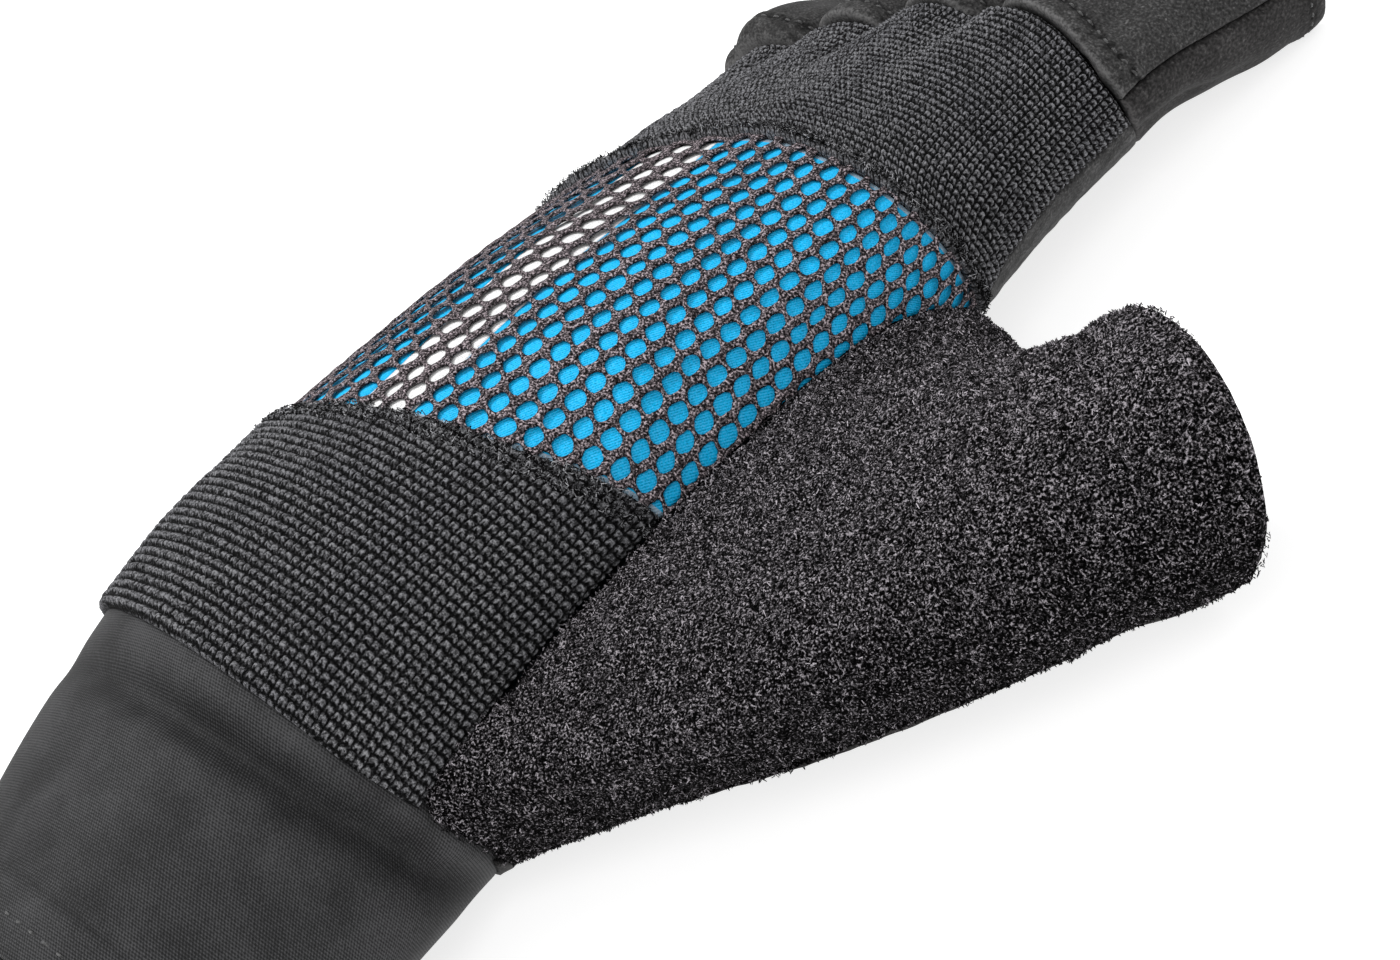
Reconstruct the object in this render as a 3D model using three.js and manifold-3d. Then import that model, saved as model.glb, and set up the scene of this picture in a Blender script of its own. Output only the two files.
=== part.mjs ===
// Half-finger fitness glove for a left hand, lying palm down on the floor plane.
// Millimetres, +X thumb side, +Y towards the fingers, +Z back of the hand up.
import * as THREE from 'three';
import Module from 'manifold-3d';

const wasm = await Module();
wasm.setup();

// Sizes of the cloth
const GAP = 0.3;
const BAND_THICK = 2.0;
const NET_THICK = 1.2;
const NET_SINK = 0.3;
const LINING_THICK = 1.2;
const LINING_SINK = 2.35;
const CUFF_THICK = 1.6;
const CUFF_SINK = 0.9;
const TERRY_THICK = 2.4;
const SUEDE_THICK = 1.5;
const STALL_THICK = 1.4;
const STALL_PROUD = 0.8;

// Limits of the panels along the hand and in degrees of turn round it:
// 0 is the thumb side, 90 the back, 180 the little-finger side, 270 the palm
const CUFF_END_Y = -50;
const INDEX_PALM_TURN = -48;
const LITTLE_SEAM_TURN = 172;
const STRIPE_WIDTH_TURN = 16;

// Net, drawn at a wider pitch than the cloth's own
const NET_PITCH = 8.1;
const NET_HOLE = 6;
const NET_HOLE_SIDES = 6;
const NET_MARGIN = 3.7;

// Thumb stall
const THUMB_END = new THREE.Vector3(91.6, 59.4, 15.4);
const THUMB_AXIS = new THREE.Vector3(0.77, 0.64, -0.1).normalize();
const THUMB_HALF_WIDTH = 14.6;
const THUMB_HALF_HEIGHT = 13.4;
const THUMB_BULGE = 7.6;
const THUMB_BULGE_TURN = -20;
const THUMB_FOLLOW = 0.35;
const THUMB_CUT_SLANT = 10;
const THUMB_CUT_TURN = 33;
const THUMB_HEM_PROUD = 0.9;
const THUMB_SLIDE = 0.8;
const THUMB_SEAM_GAP = 0.6;
const THUMB_SPLIT = 0.05;

const ROUNDNESS = 2.15;

// Cross sections of the hand sleeve, one row per place along it
const SECTIONS = [
  { y: -52, littleX: -31, littleZ: 14, thumbX: 32.2, thumbZ: 12.5, crestX: 1.5, top: 40, bottom: -1 },
  { y: -22, littleX: -33.5, littleZ: 16.5, thumbX: 32.8, thumbZ: 14.4, crestX: 1, top: 47.2, bottom: -1 },
  { y: 3, littleX: -38.5, littleZ: 17, thumbX: 34.5, thumbZ: 17.4, crestX: 0, top: 49.3, bottom: -1 },
  { y: 28, littleX: -42.5, littleZ: 17, thumbX: 36.8, thumbZ: 18.4, crestX: 2.2, top: 46.2, bottom: -0.5 },
  { y: 52, littleX: -44, littleZ: 17, thumbX: 38, thumbZ: 19, crestX: 3.5, top: 42.2, bottom: 1 },
  { y: 76, littleX: -45, littleZ: 16, thumbX: 38.2, thumbZ: 18.5, crestX: 3.3, top: 36.2, bottom: 2 },
  { y: 94, littleX: -44.5, littleZ: 15, thumbX: 37.5, thumbZ: 18.3, crestX: 3.3, top: 31.9, bottom: 2 },
  { y: 112, littleX: -43, littleZ: 14, thumbX: 37.4, thumbZ: 16.1, crestX: 3.3, top: 29.2, bottom: 1 },
  { y: 130, littleX: -42, littleZ: 12.5, thumbX: 38, thumbZ: 13.6, crestX: 2.9, top: 26.7, bottom: 0 },
];

// Seam where the thumb stall leaves the sleeve, from the cuff over the back and the web to the palm;
// aim is the turn round the stall's open end that each point runs to
const THUMB_SEAM = [
  { y: -7, turn: -26, aim: -18 },
  { y: -8.5, turn: -8, aim: -5 },
  { y: -9, turn: 10, aim: 25 },
  { y: 7, turn: 11, aim: 50 },
  { y: 22, turn: 12, aim: 75 },
  { y: 37, turn: 12, aim: 95 },
  { y: 53, turn: 9, aim: 120 },
  { y: 65, turn: 4, aim: 145 },
  { y: 73, turn: -8, aim: 168 },
  { y: 77, turn: -28, aim: 190 },
  { y: 74, turn: -48, aim: 210 },
  { y: 66, turn: -58, aim: 228 },
  { y: 52, turn: -66, aim: 246 },
  { y: 36, turn: -68, aim: 262 },
  { y: 20, turn: -62, aim: 280 },
  { y: 6, turn: -53, aim: 300 },
  { y: -3, turn: -42, aim: 325 },
];
const WEB_ROW = 10;
// The towelling wraps a little under the thumb, past the first row of the seam
const WRAP_ROW = -1.2;

// Edges that cross the hand: how far along it they lie at each turn
const CUFF_EDGE = [
  { turn: -90, y: -6 },
  { turn: -28, y: -7.6 },
  { turn: 5, y: -9.8 },
  { turn: 30, y: -12 },
  { turn: 90, y: -12 },
  { turn: 180, y: -9 },
  { turn: 270, y: -6 },
  { turn: 332, y: -7.6 },
];
const NET_LOW_EDGE = [
  { turn: -40, y: 31 },
  { turn: 15, y: 31 },
  { turn: 55, y: 26 },
  { turn: 100, y: 22 },
  { turn: 180, y: 17 },
];
const NET_HIGH_EDGE = [
  { turn: -40, y: 77 },
  { turn: 13, y: 78 },
  { turn: 55, y: 80 },
  { turn: 85, y: 81 },
  { turn: 110, y: 77 },
  { turn: 121, y: 74 },
  { turn: 180, y: 62 },
];
const WEB_EDGE = [
  { turn: -48, y: 74 },
  { turn: -28, y: 77.1 },
  { turn: -10, y: 77.9 },
];
const BAND_SIDE = [
  { y: 74, turn: -30 },
  { y: 78, turn: -25 },
  { y: 84, turn: -17 },
  { y: 98, turn: -16 },
  { y: 112, turn: -16 },
];
const STRIPE_EDGE = [
  { y: 10, turn: 69 },
  { y: 23, turn: 74 },
  { y: 62, turn: 87 },
  { y: 85, turn: 94 },
];

// Fingers: sides of the stall where it leaves the hand, then its end
const FINGERS = [
  { name: 'index', left: 14.8, right: 38.3, endX: 29.8, endHalf: 11, endHigh: 10.2, length: 28 },
  { name: 'middle', left: -5.7, right: 14, endX: 5.6, endHalf: 11.1, endHigh: 10.4, length: 31 },
  { name: 'ring', left: -24.9, right: -6.5, endX: -17.6, endHalf: 10.5, endHigh: 10, length: 29 },
  { name: 'little', left: -43.6, right: -25.7, endX: -39, endHalf: 9.7, endHigh: 9.3, length: 25 },
];
const STALL_ROUNDNESS = 2.5;
const STALL_READ_LEFT = -38.5;
const STALL_READ_RIGHT = 33.5;
const VALLEY_DEPTH = 2.4;
const VALLEY_WIDTH = 4;
const VALLEY_START_Y = 90;
const HEM_Y = 112;
const HEM_THUMB_X = 37.2;
const HEM_LITTLE_X = -42.8;

const COLOURS = {
  cuff: '#232428', elastic: '#2b2c30', net: '#3b3534', azure: '#0a9bef', white: '#e4e8ec',
  terry: '#1d1d20', suede: '#222327', finger: '#292a2d',
};

const mix = (a, b, t) => a + (b - a) * t;
const clamp = (v, low, high) => Math.min(high, Math.max(low, v));
const ease = (t) => t * t * (3 - 2 * t);
const radians = (turn) => (turn * Math.PI) / 180;
const signedPower = (v, power) => Math.sign(v) * Math.abs(v) ** power;

// Smooth curve through the rows of a table, read at one value of the column named by
function readTable(table, by, at, column) {
  const last = table.length - 2;
  let i = 0;
  while (i < last && table[i + 1][by] < at) i += 1;
  const step = table[i + 1][by] - table[i][by];
  const t = (at - table[i][by]) / step;
  const slope = (k) => {
    const a = table[Math.max(0, k - 1)];
    const b = table[Math.min(table.length - 1, k + 1)];
    return (b[column] - a[column]) / (b[by] - a[by]);
  };
  const from = table[i][column];
  const to = table[i + 1][column];
  if (t < 0) return from + slope(i) * step * t;
  if (t > 1) return to + slope(i + 1) * step * (t - 1);
  const t2 = t * t;
  const t3 = t2 * t;
  return (2 * t3 - 3 * t2 + 1) * from + (t3 - 2 * t2 + t) * step * slope(i)
    + (3 * t2 - 2 * t3) * to + (t3 - t2) * step * slope(i + 1);
}

const sectionCache = new Map();
function section(y) {
  if (!sectionCache.has(y)) {
    const row = {};
    for (const column of Object.keys(SECTIONS[0])) {
      row[column] = column === 'y' ? y : readTable(SECTIONS, 'y', y, column);
    }
    sectionCache.set(y, row);
  }
  return sectionCache.get(y);
}

// Valleys between the fingers, sunk into the back of the hand near its hem
function valley(x, y) {
  const fade = ease(clamp((y - VALLEY_START_Y) / (HEM_Y - VALLEY_START_Y), 0, 1));
  let depth = 0;
  for (let i = 1; i < FINGERS.length; i += 1) {
    const middle = (FINGERS[i].right + FINGERS[i - 1].left) / 2;
    depth += Math.exp(-(((x - middle) / VALLEY_WIDTH) ** 2));
  }
  return VALLEY_DEPTH * fade * depth;
}

// Point of the outer surface of the hand sleeve, never below the floor
function handPoint(y, turn) {
  const row = section(y);
  const c = Math.cos(radians(turn));
  const s = Math.sin(radians(turn));
  const power = 2 / ROUNDNESS;
  const sideX = c >= 0 ? row.thumbX : row.littleX;
  const sideZ = mix(row.littleZ, row.thumbZ, (1 + signedPower(c, power)) / 2);
  const x = row.crestX + (sideX - row.crestX) * Math.abs(c) ** power;
  const far = s >= 0 ? row.top : row.bottom;
  let z = sideZ + (far - sideZ) * Math.abs(s) ** power;
  if (s > 0) z -= valley(x, y) * s;
  return new THREE.Vector3(x, y, Math.max(z, 0));
}

function handNormal(y, turn) {
  const along = handPoint(y + 0.5, turn).sub(handPoint(y - 0.5, turn));
  const round = handPoint(y, turn + 0.5).sub(handPoint(y, turn - 0.5));
  return along.cross(round).normalize();
}

// Height of the sleeve's back (side 1) or palm (side -1) above a place on the floor
function handHeight(x, y, side) {
  const row = section(y);
  const sideX = x >= row.crestX ? row.thumbX : row.littleX;
  const reach = clamp((x - row.crestX) / (sideX - row.crestX), 0, 1);
  const rise = (1 - reach ** ROUNDNESS) ** (1 / ROUNDNESS);
  const lean = x >= row.crestX ? (1 + reach) / 2 : (1 - reach) / 2;
  const sideZ = mix(row.littleZ, row.thumbZ, lean);
  const far = side > 0 ? row.top - valley(x, y) : row.bottom;
  return Math.max(sideZ + (far - sideZ) * rise, 0);
}

// Where the fingers start, as a place along the hand
function hemY(x) {
  const within = clamp(x, HEM_LITTLE_X, HEM_THUMB_X);
  const thumbSide = 5 * (Math.max(0, within - 22) / 16) ** 2;
  const littleSide = 7 * (Math.max(0, -within) / 43) ** 2;
  return HEM_Y - thumbSide - littleSide;
}

// Solid of a cloth panel: place(u, v) gives its outer surface, with the outside on the left hand
// side of u crossed with v; ring closes it in v
function panel({ place, rows, cols, thick, lift = () => 0, ring = false }) {
  const step = 0.004;
  const outer = [];
  const inner = [];
  const across = ring ? cols : cols + 1;
  for (let i = 0; i <= rows; i += 1) {
    for (let j = 0; j < across; j += 1) {
      const u = i / rows;
      const v = j / cols;
      const alongU = place(u + step, v).sub(place(u - step, v));
      const alongV = place(u, v + step).sub(place(u, v - step));
      const normal = alongU.cross(alongV).normalize();
      const point = place(u, v).addScaledVector(normal, lift(u, v));
      point.z = Math.max(point.z, 0);
      outer.push(point);
      inner.push(point.clone().addScaledVector(normal, -thick));
    }
  }
  const points = [...outer, ...inner];
  const deep = outer.length;
  const at = (i, j) => i * across + (j % across);
  const faces = [];
  const quad = (a, b, c, d) => faces.push([a, b, c], [a, c, d]);
  for (let i = 0; i < rows; i += 1) {
    for (let j = 0; j < cols; j += 1) {
      quad(at(i, j), at(i + 1, j), at(i + 1, j + 1), at(i, j + 1));
      quad(deep + at(i, j), deep + at(i, j + 1), deep + at(i + 1, j + 1), deep + at(i + 1, j));
    }
  }
  for (let j = 0; j < cols; j += 1) {
    quad(at(0, j), at(0, j + 1), deep + at(0, j + 1), deep + at(0, j));
    quad(at(rows, j + 1), at(rows, j), deep + at(rows, j), deep + at(rows, j + 1));
  }
  for (let i = 0; i < rows && !ring; i += 1) {
    quad(at(i + 1, 0), at(i, 0), deep + at(i, 0), deep + at(i + 1, 0));
    quad(at(i, cols), at(i + 1, cols), deep + at(i + 1, cols), deep + at(i, cols));
  }
  return { points, faces };
}

// Panel on the hand sleeve between two edges that cross it and two seams that run along it
function handPanel({ low, high, from, to, ...shape }) {
  const half = GAP / 2;
  const perDegree = (y, turn) => handPoint(y, turn + 0.5).distanceTo(handPoint(y, turn - 0.5));
  const place = (u, v) => {
    let y = mix(low(90), high(90), u);
    let turn = 90;
    for (let round = 0; round < 5; round += 1) {
      const start = from(y);
      const end = to(y);
      turn = mix(start + half / perDegree(y, start), end - half / perDegree(y, end), v);
      y = mix(low(turn) + half, high(turn) - half, u);
    }
    return handPoint(y, turn);
  };
  return panel({ place, ...shape });
}

const cuffEdge = (turn) => readTable(CUFF_EDGE, 'turn', turn, 'y');
const netLow = (turn) => readTable(NET_LOW_EDGE, 'turn', turn, 'y');
const netHigh = (turn) => readTable(NET_HIGH_EDGE, 'turn', turn, 'y');
const hem = (turn) => hemY(handPoint(HEM_Y, turn).x);
const littleSeam = () => LITTLE_SEAM_TURN;
const bandSide = (y) => readTable(BAND_SIDE, 'y', y, 'turn');
const stripeStart = (y) => readTable(STRIPE_EDGE, 'y', y, 'turn');
const stripeEnd = (y) => stripeStart(y) + STRIPE_WIDTH_TURN;
const backSeam = THUMB_SEAM.slice(2, WEB_ROW);
const palmSeam = [THUMB_SEAM[0], ...THUMB_SEAM.slice(WEB_ROW).reverse()].sort((a, b) => a.y - b.y);
const thumbBackTurn = (y) => readTable(backSeam, 'y', y, 'turn');
const webY = (turn) => readTable(WEB_EDGE, 'turn', turn, 'y');
const palmEndTurn = (y) => {
  const seam = y < THUMB_SEAM[WEB_ROW].y ? readTable(palmSeam, 'y', y, 'turn') : INDEX_PALM_TURN;
  return 360 + seam;
};

function makeCuff() {
  const place = (u, v) => {
    const turn = mix(-90, 270, v);
    return handPoint(mix(CUFF_END_Y, cuffEdge(turn) - GAP / 2, u), turn);
  };
  const fold = (u, v) => 0.8 * Math.sin(6 * Math.PI * v + 4 * u) * (1 - u) * Math.sin(Math.PI * u);
  const lift = (u, v) => fold(u, v) - CUFF_SINK;
  return panel({ place, rows: 5, cols: 30, thick: CUFF_THICK, lift, ring: true });
}

const makeWristBand = () => handPanel({
  low: cuffEdge, high: netLow, from: thumbBackTurn, to: littleSeam, rows: 7, cols: 18, thick: BAND_THICK,
});

const makeKnuckleBand = () => handPanel({
  low: netHigh, high: hem, from: bandSide, to: littleSeam, rows: 5, cols: 26, thick: BAND_THICK,
});

const makeLining = (from, to, cols) => handPanel({
  low: netLow, high: netHigh, from, to, rows: 7, cols, thick: LINING_THICK, lift: () => -LINING_SINK,
});

const makeIndexSide = () => handPanel({
  low: webY, high: hem, from: () => INDEX_PALM_TURN, to: bandSide, rows: 6, cols: 5, thick: SUEDE_THICK,
});

const makePalm = () => handPanel({
  low: cuffEdge, high: hem, from: littleSeam, to: palmEndTurn, rows: 18, cols: 12, thick: SUEDE_THICK,
});

const toManifold = ({ points, faces }) => new wasm.Manifold(new wasm.Mesh({
  numProp: 3,
  vertProperties: new Float32Array(points.flatMap((p) => [p.x, p.y, p.z])),
  triVerts: new Uint32Array(faces.flat()),
}));

// Prism through the net at one hole, square to the sleeve there
function netHole(y, turn) {
  const centre = handPoint(y, turn);
  const along = handPoint(y + 0.5, turn).sub(handPoint(y - 0.5, turn)).normalize();
  const round = handPoint(y, turn + 0.5).sub(handPoint(y, turn - 0.5)).normalize();
  const normal = along.clone().cross(round).normalize();
  const points = [];
  for (const depth of [NET_THICK, -2 * NET_THICK]) {
    for (let k = 0; k < NET_HOLE_SIDES; k += 1) {
      const angle = (2 * Math.PI * k) / NET_HOLE_SIDES;
      points.push(centre.clone()
        .addScaledVector(along, (NET_HOLE / 2) * Math.cos(angle))
        .addScaledVector(round, (NET_HOLE / 2) * Math.sin(angle))
        .addScaledVector(normal, depth));
    }
  }
  const faces = [];
  for (let k = 0; k < NET_HOLE_SIDES; k += 1) {
    const next = (k + 1) % NET_HOLE_SIDES;
    const [a, b] = [k, next];
    const [c, d] = [k + NET_HOLE_SIDES, next + NET_HOLE_SIDES];
    faces.push([a, c, b], [b, c, d]);
    if (k > 0 && k < NET_HOLE_SIDES - 1) {
      faces.push([0, k, next], [NET_HOLE_SIDES, next + NET_HOLE_SIDES, c]);
    }
  }
  return { points, faces };
}

// Net: a thin panel with staggered rows of holes cut through
function makeNet() {
  let net = toManifold(handPanel({
    low: netLow, high: netHigh, from: thumbBackTurn, to: littleSeam, rows: 5, cols: 12,
    thick: NET_THICK, lift: () => -NET_SINK,
  }));
  const rowStep = NET_PITCH * Math.sin(Math.PI / 3);
  let odd = false;
  for (let y = 12; y < 84; y += rowStep) {
    odd = !odd;
    let turn = thumbBackTurn(y);
    let travelled = odd ? NET_PITCH / 2 : 0;
    const perDegree = (at) => handPoint(y, at + 0.5).distanceTo(handPoint(y, at - 0.5));
    const marginTurn = NET_MARGIN / perDegree(turn);
    while (turn < LITTLE_SEAM_TURN - marginTurn) {
      travelled += perDegree(turn) / 4;
      turn += 0.25;
      const inside = y > netLow(turn) + NET_MARGIN && y < netHigh(turn) - NET_MARGIN;
      const clear = [-NET_MARGIN, 0, NET_MARGIN].every((d) => turn > thumbBackTurn(y + d) + marginTurn);
      if (travelled >= NET_PITCH) {
        travelled -= NET_PITCH;
        if (inside && clear) net = net.subtract(toManifold(netHole(y, turn)));
      }
    }
  }
  const { vertProperties, triVerts } = net.getMesh();
  const points = [];
  for (let i = 0; i < vertProperties.length; i += 3) {
    points.push(new THREE.Vector3(...vertProperties.slice(i, i + 3)));
  }
  const faces = [];
  for (let i = 0; i < triVerts.length; i += 3) faces.push([...triVerts.slice(i, i + 3)]);
  return { points, faces };
}

// Thumb seam read at a fractional row, closed on itself
function thumbSeamAt(k) {
  const count = THUMB_SEAM.length;
  const base = Math.floor(k);
  const row = (i) => {
    const source = THUMB_SEAM[((i % count) + count) % count];
    return { k: i, y: source.y, turn: source.turn, aim: source.aim + 360 * Math.floor(i / count) };
  };
  const near = [base - 1, base, base + 1, base + 2].map(row);
  const read = (column) => readTable(near, 'k', k, column);
  return { y: read('y'), turn: read('turn'), aim: read('aim') };
}

// Outer surface of the thumb stall: t runs from the seam to the open end
const thumbSide = new THREE.Vector3().crossVectors(THUMB_AXIS, new THREE.Vector3(0, 0, 1)).normalize();
const thumbUp = new THREE.Vector3().crossVectors(thumbSide, THUMB_AXIS);
function thumbPoint(t, k) {
  const { y, turn, aim } = thumbSeamAt(k);
  const start = handPoint(y, turn);
  const normal = handNormal(y, turn);
  const end = THUMB_END.clone()
    .addScaledVector(thumbSide, THUMB_HALF_WIDTH * Math.cos(radians(aim)))
    .addScaledVector(thumbUp, THUMB_HALF_HEIGHT * Math.sin(radians(aim)))
    .addScaledVector(THUMB_AXIS, THUMB_CUT_SLANT * Math.cos(radians(aim - THUMB_CUT_TURN)));
  const leave = end.clone().sub(start);
  const reach = leave.length();
  const ahead = thumbSeamAt(k + 0.05);
  const seam = handPoint(ahead.y, ahead.turn).sub(start).normalize();
  leave.normalize();
  leave.addScaledVector(seam, -THUMB_SLIDE * leave.dot(seam));
  leave.addScaledVector(normal, -THUMB_FOLLOW * leave.dot(normal)).normalize();
  const t2 = t * t;
  const t3 = t2 * t;
  const outward = (1 + Math.cos(radians(aim - THUMB_BULGE_TURN))) / 2;
  const bulge = THUMB_BULGE * Math.sin(Math.PI * clamp(t, 0, 1)) * outward ** 2;
  const point = start.multiplyScalar(2 * t3 - 3 * t2 + 1)
    .addScaledVector(leave, reach * (t3 - 2 * t2 + t) + THUMB_SEAM_GAP * (1 - t) ** 2)
    .addScaledVector(end, 3 * t2 - 2 * t3)
    .addScaledVector(THUMB_AXIS, reach * (t3 - t2))
    .addScaledVector(thumbSide, bulge);
  point.z = Math.max(point.z, 0);
  return point;
}

function makeThumbPart(fromRow, toRow, rows, cols, thick) {
  const inset = THUMB_SPLIT;
  const place = (u, v) => thumbPoint(u, mix(fromRow + inset, toRow - inset, v));
  const lift = (u) => THUMB_HEM_PROUD * ease(clamp((u - 0.8) / 0.12, 0, 1));
  return panel({ place, rows, cols, thick, lift });
}

// Finger stall: t runs from the hem to the open end, aim round it from the thumb side over the top
function stallPoint(finger, t, aim) {
  const c = Math.cos(radians(aim));
  const s = Math.sin(radians(aim));
  const half = (finger.right - finger.left) / 2;
  const power = 2 / mix(STALL_ROUNDNESS, 2, clamp(t, 0, 1));
  const baseX = (finger.right + finger.left) / 2 + half * signedPower(c, power);
  const baseY = hemY(baseX) + GAP;
  const readX = clamp(baseX, STALL_READ_LEFT, STALL_READ_RIGHT);
  const edge = handHeight(readX, baseY, s >= 0 ? 1 : -1);
  const middle = mix(handHeight(readX, baseY, 1), handHeight(readX, baseY, -1), 0.5);
  const baseZ = middle + (edge - middle) * Math.abs(s) ** power;
  const endX = finger.endX + finger.endHalf * signedPower(c, power);
  const endY = hemY(finger.endX) + finger.length;
  const endZ = finger.endHigh - 0.4 + finger.endHigh * signedPower(s, power);
  const blend = ease(clamp(t, 0, 1));
  const point = new THREE.Vector3(mix(baseX, endX, blend), mix(baseY, endY, t), mix(baseZ, endZ, blend));
  point.z = Math.max(point.z, 0);
  return point;
}

function makeStall(finger, fromAim, toAim) {
  const inset = 0.8;
  const place = (u, v) => stallPoint(finger, u, mix(fromAim + inset, toAim - inset, v));
  const lift = (u, v) => STALL_PROUD * Math.sin(Math.PI * v) ** 3 * (1 - ease(clamp(u / 0.3, 0, 1)));
  const base = fromAim < 180 ? lift : () => 0;
  return panel({ place, rows: 5, cols: 8, thick: STALL_THICK, lift: base });
}

const glove = new THREE.Group();
glove.name = 'fitness_glove';

function addPiece(name, colour, roughness, { points, faces }) {
  const geometry = new THREE.BufferGeometry();
  const flat = new Float32Array(points.flatMap((p) => [p.x, p.y, p.z]));
  geometry.setAttribute('position', new THREE.BufferAttribute(flat, 3));
  geometry.setIndex(faces.flat());
  geometry.computeVertexNormals();
  const finish = { color: colour, roughness, metalness: 0, side: THREE.FrontSide };
  const material = new THREE.MeshStandardMaterial(finish);
  const mesh = new THREE.Mesh(geometry, material);
  mesh.name = name;
  glove.add(mesh);
}

addPiece('cuff', COLOURS.cuff, 0.7, makeCuff());
addPiece('wrist_band', COLOURS.elastic, 0.85, makeWristBand());
addPiece('back_lining', COLOURS.azure, 0.45, makeLining(thumbBackTurn, stripeStart, 9));
addPiece('lining_stripe', COLOURS.white, 0.5, makeLining(stripeStart, stripeEnd, 3));
addPiece('lining_edge', COLOURS.azure, 0.45, makeLining(stripeEnd, littleSeam, 9));
addPiece('back_net', COLOURS.net, 0.9, makeNet());
addPiece('knuckle_band', COLOURS.elastic, 0.85, makeKnuckleBand());
addPiece('thumb_terry', COLOURS.terry, 1, makeThumbPart(WRAP_ROW, WEB_ROW, 10, 21, TERRY_THICK));
const thumbFront = makeThumbPart(WEB_ROW, THUMB_SEAM.length + WRAP_ROW, 10, 10, SUEDE_THICK);
addPiece('thumb_front', COLOURS.suede, 0.9, thumbFront);
addPiece('palm', COLOURS.suede, 0.9, makePalm());
addPiece('index_side', COLOURS.suede, 0.8, makeIndexSide());
for (const finger of FINGERS) {
  addPiece(`${finger.name}_back`, COLOURS.finger, 0.85, makeStall(finger, 0, 180));
  addPiece(`${finger.name}_front`, COLOURS.suede, 0.9, makeStall(finger, 180, 360));
}

export default glove;
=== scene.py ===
"""Looks of a half-finger fitness glove, left hand, lying palm down.

The sizes are in metres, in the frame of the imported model: +X is the thumb side, +Y points
to the fingers and +Z is up out of the back of the hand.
"""

import math
from collections import namedtuple

import bmesh
import bpy
import numpy as np
from mathutils import Matrix


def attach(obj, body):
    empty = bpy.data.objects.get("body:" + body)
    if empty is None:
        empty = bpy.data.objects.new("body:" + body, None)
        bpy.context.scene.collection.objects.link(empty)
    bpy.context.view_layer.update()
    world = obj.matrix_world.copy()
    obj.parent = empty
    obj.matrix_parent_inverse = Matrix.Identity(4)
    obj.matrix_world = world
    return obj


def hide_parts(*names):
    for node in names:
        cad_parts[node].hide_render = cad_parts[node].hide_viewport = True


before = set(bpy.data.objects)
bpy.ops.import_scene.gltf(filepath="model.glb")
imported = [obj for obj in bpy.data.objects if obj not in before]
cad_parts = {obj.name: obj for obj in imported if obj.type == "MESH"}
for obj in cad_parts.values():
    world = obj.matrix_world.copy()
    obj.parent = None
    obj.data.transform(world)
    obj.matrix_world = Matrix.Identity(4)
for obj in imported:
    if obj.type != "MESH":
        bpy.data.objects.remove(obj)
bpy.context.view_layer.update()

bl_info = {
    "name": "Fitness Glove",
    "version": (1, 0, 0),
    "blender": (4, 5, 0),
    "location": "View3D > Sidebar > Glove",
    "description": "Builds a half-finger fitness glove from its cloth panels",
    "category": "Add Mesh",
}

SEED = 7

# Cloth thicknesses and how deep each layer lies under the sleeve's surface
BAND_THICK = 0.0020
NET_THICK = 0.00052
NET_TUCK = 0.0005
LINING_THICK = 0.0015
LINING_SINK = 0.00070
CUFF_THICK = 0.0014
CUFF_SINK = 0.0010
TERRY_THICK = 0.0022
SUEDE_THICK = 0.0014
STALL_THICK = 0.0013
STALL_PROUD = 0.0010
SEAM_GAP = 0.0002
KNOT_LEAN = 0.45

# Steps for reading the sleeve's slopes, plain values of relief, and a tube's unrolled radius
STEP_Y = 0.0005
STEP_TURN = 0.5
PLAIN_RELIEF = 0.5
INNER_RELIEF = 0.3
TUBE_UV_RADIUS = 0.0001

# Panel limits; turns are in degrees: 0 thumb side, 90 back, 180 little-finger side, 270 palm
CUFF_END_Y = -0.050
CUFF_TUCK = 0.004
INDEX_PALM_TURN = -48
LITTLE_SEAM_TURN = 172
STRIPE_WIDTH_TURN = 16
ROUNDNESS = 2.15

Section = namedtuple("Section", "y little_x little_z thumb_x thumb_z crest_x top bottom")
SECTIONS = [
    Section(-0.052, -0.0310, 0.0140, 0.0322, 0.0125, 0.0015, 0.0400, -0.0010),
    Section(-0.022, -0.0335, 0.0165, 0.0328, 0.0144, 0.0010, 0.0472, -0.0010),
    Section(0.003, -0.0385, 0.0170, 0.0345, 0.0174, 0.0000, 0.0493, -0.0010),
    Section(0.028, -0.0425, 0.0170, 0.0368, 0.0184, 0.0022, 0.0462, -0.0005),
    Section(0.052, -0.0440, 0.0170, 0.0380, 0.0190, 0.0035, 0.0422, 0.0010),
    Section(0.076, -0.0450, 0.0160, 0.0382, 0.0185, 0.0033, 0.0362, 0.0020),
    Section(0.094, -0.0445, 0.0150, 0.0375, 0.0183, 0.0033, 0.0319, 0.0020),
    Section(0.112, -0.0430, 0.0140, 0.0374, 0.0161, 0.0033, 0.0292, 0.0010),
    Section(0.130, -0.0420, 0.0125, 0.0380, 0.0136, 0.0029, 0.0267, 0.0000),
]

# Seam where the thumb stall leaves the sleeve; aim is the turn round the stall's open end
# that each point of the seam runs to
SeamPoint = namedtuple("SeamPoint", "y turn aim")
THUMB_SEAM = [
    SeamPoint(-0.0070, -26, -18),
    SeamPoint(-0.0085, -8, -5),
    SeamPoint(-0.0090, 10, 25),
    SeamPoint(0.0070, 11, 50),
    SeamPoint(0.0220, 12, 75),
    SeamPoint(0.0370, 12, 95),
    SeamPoint(0.0530, 9, 120),
    SeamPoint(0.0650, 4, 145),
    SeamPoint(0.0730, -8, 168),
    SeamPoint(0.0770, -28, 190),
    SeamPoint(0.0740, -48, 210),
    SeamPoint(0.0660, -58, 228),
    SeamPoint(0.0520, -66, 246),
    SeamPoint(0.0360, -68, 262),
    SeamPoint(0.0200, -62, 280),
    SeamPoint(0.0060, -53, 300),
    SeamPoint(-0.0030, -42, 325),
]
SEAM_STEP = 0.05
WEB_ROW = 10
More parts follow.
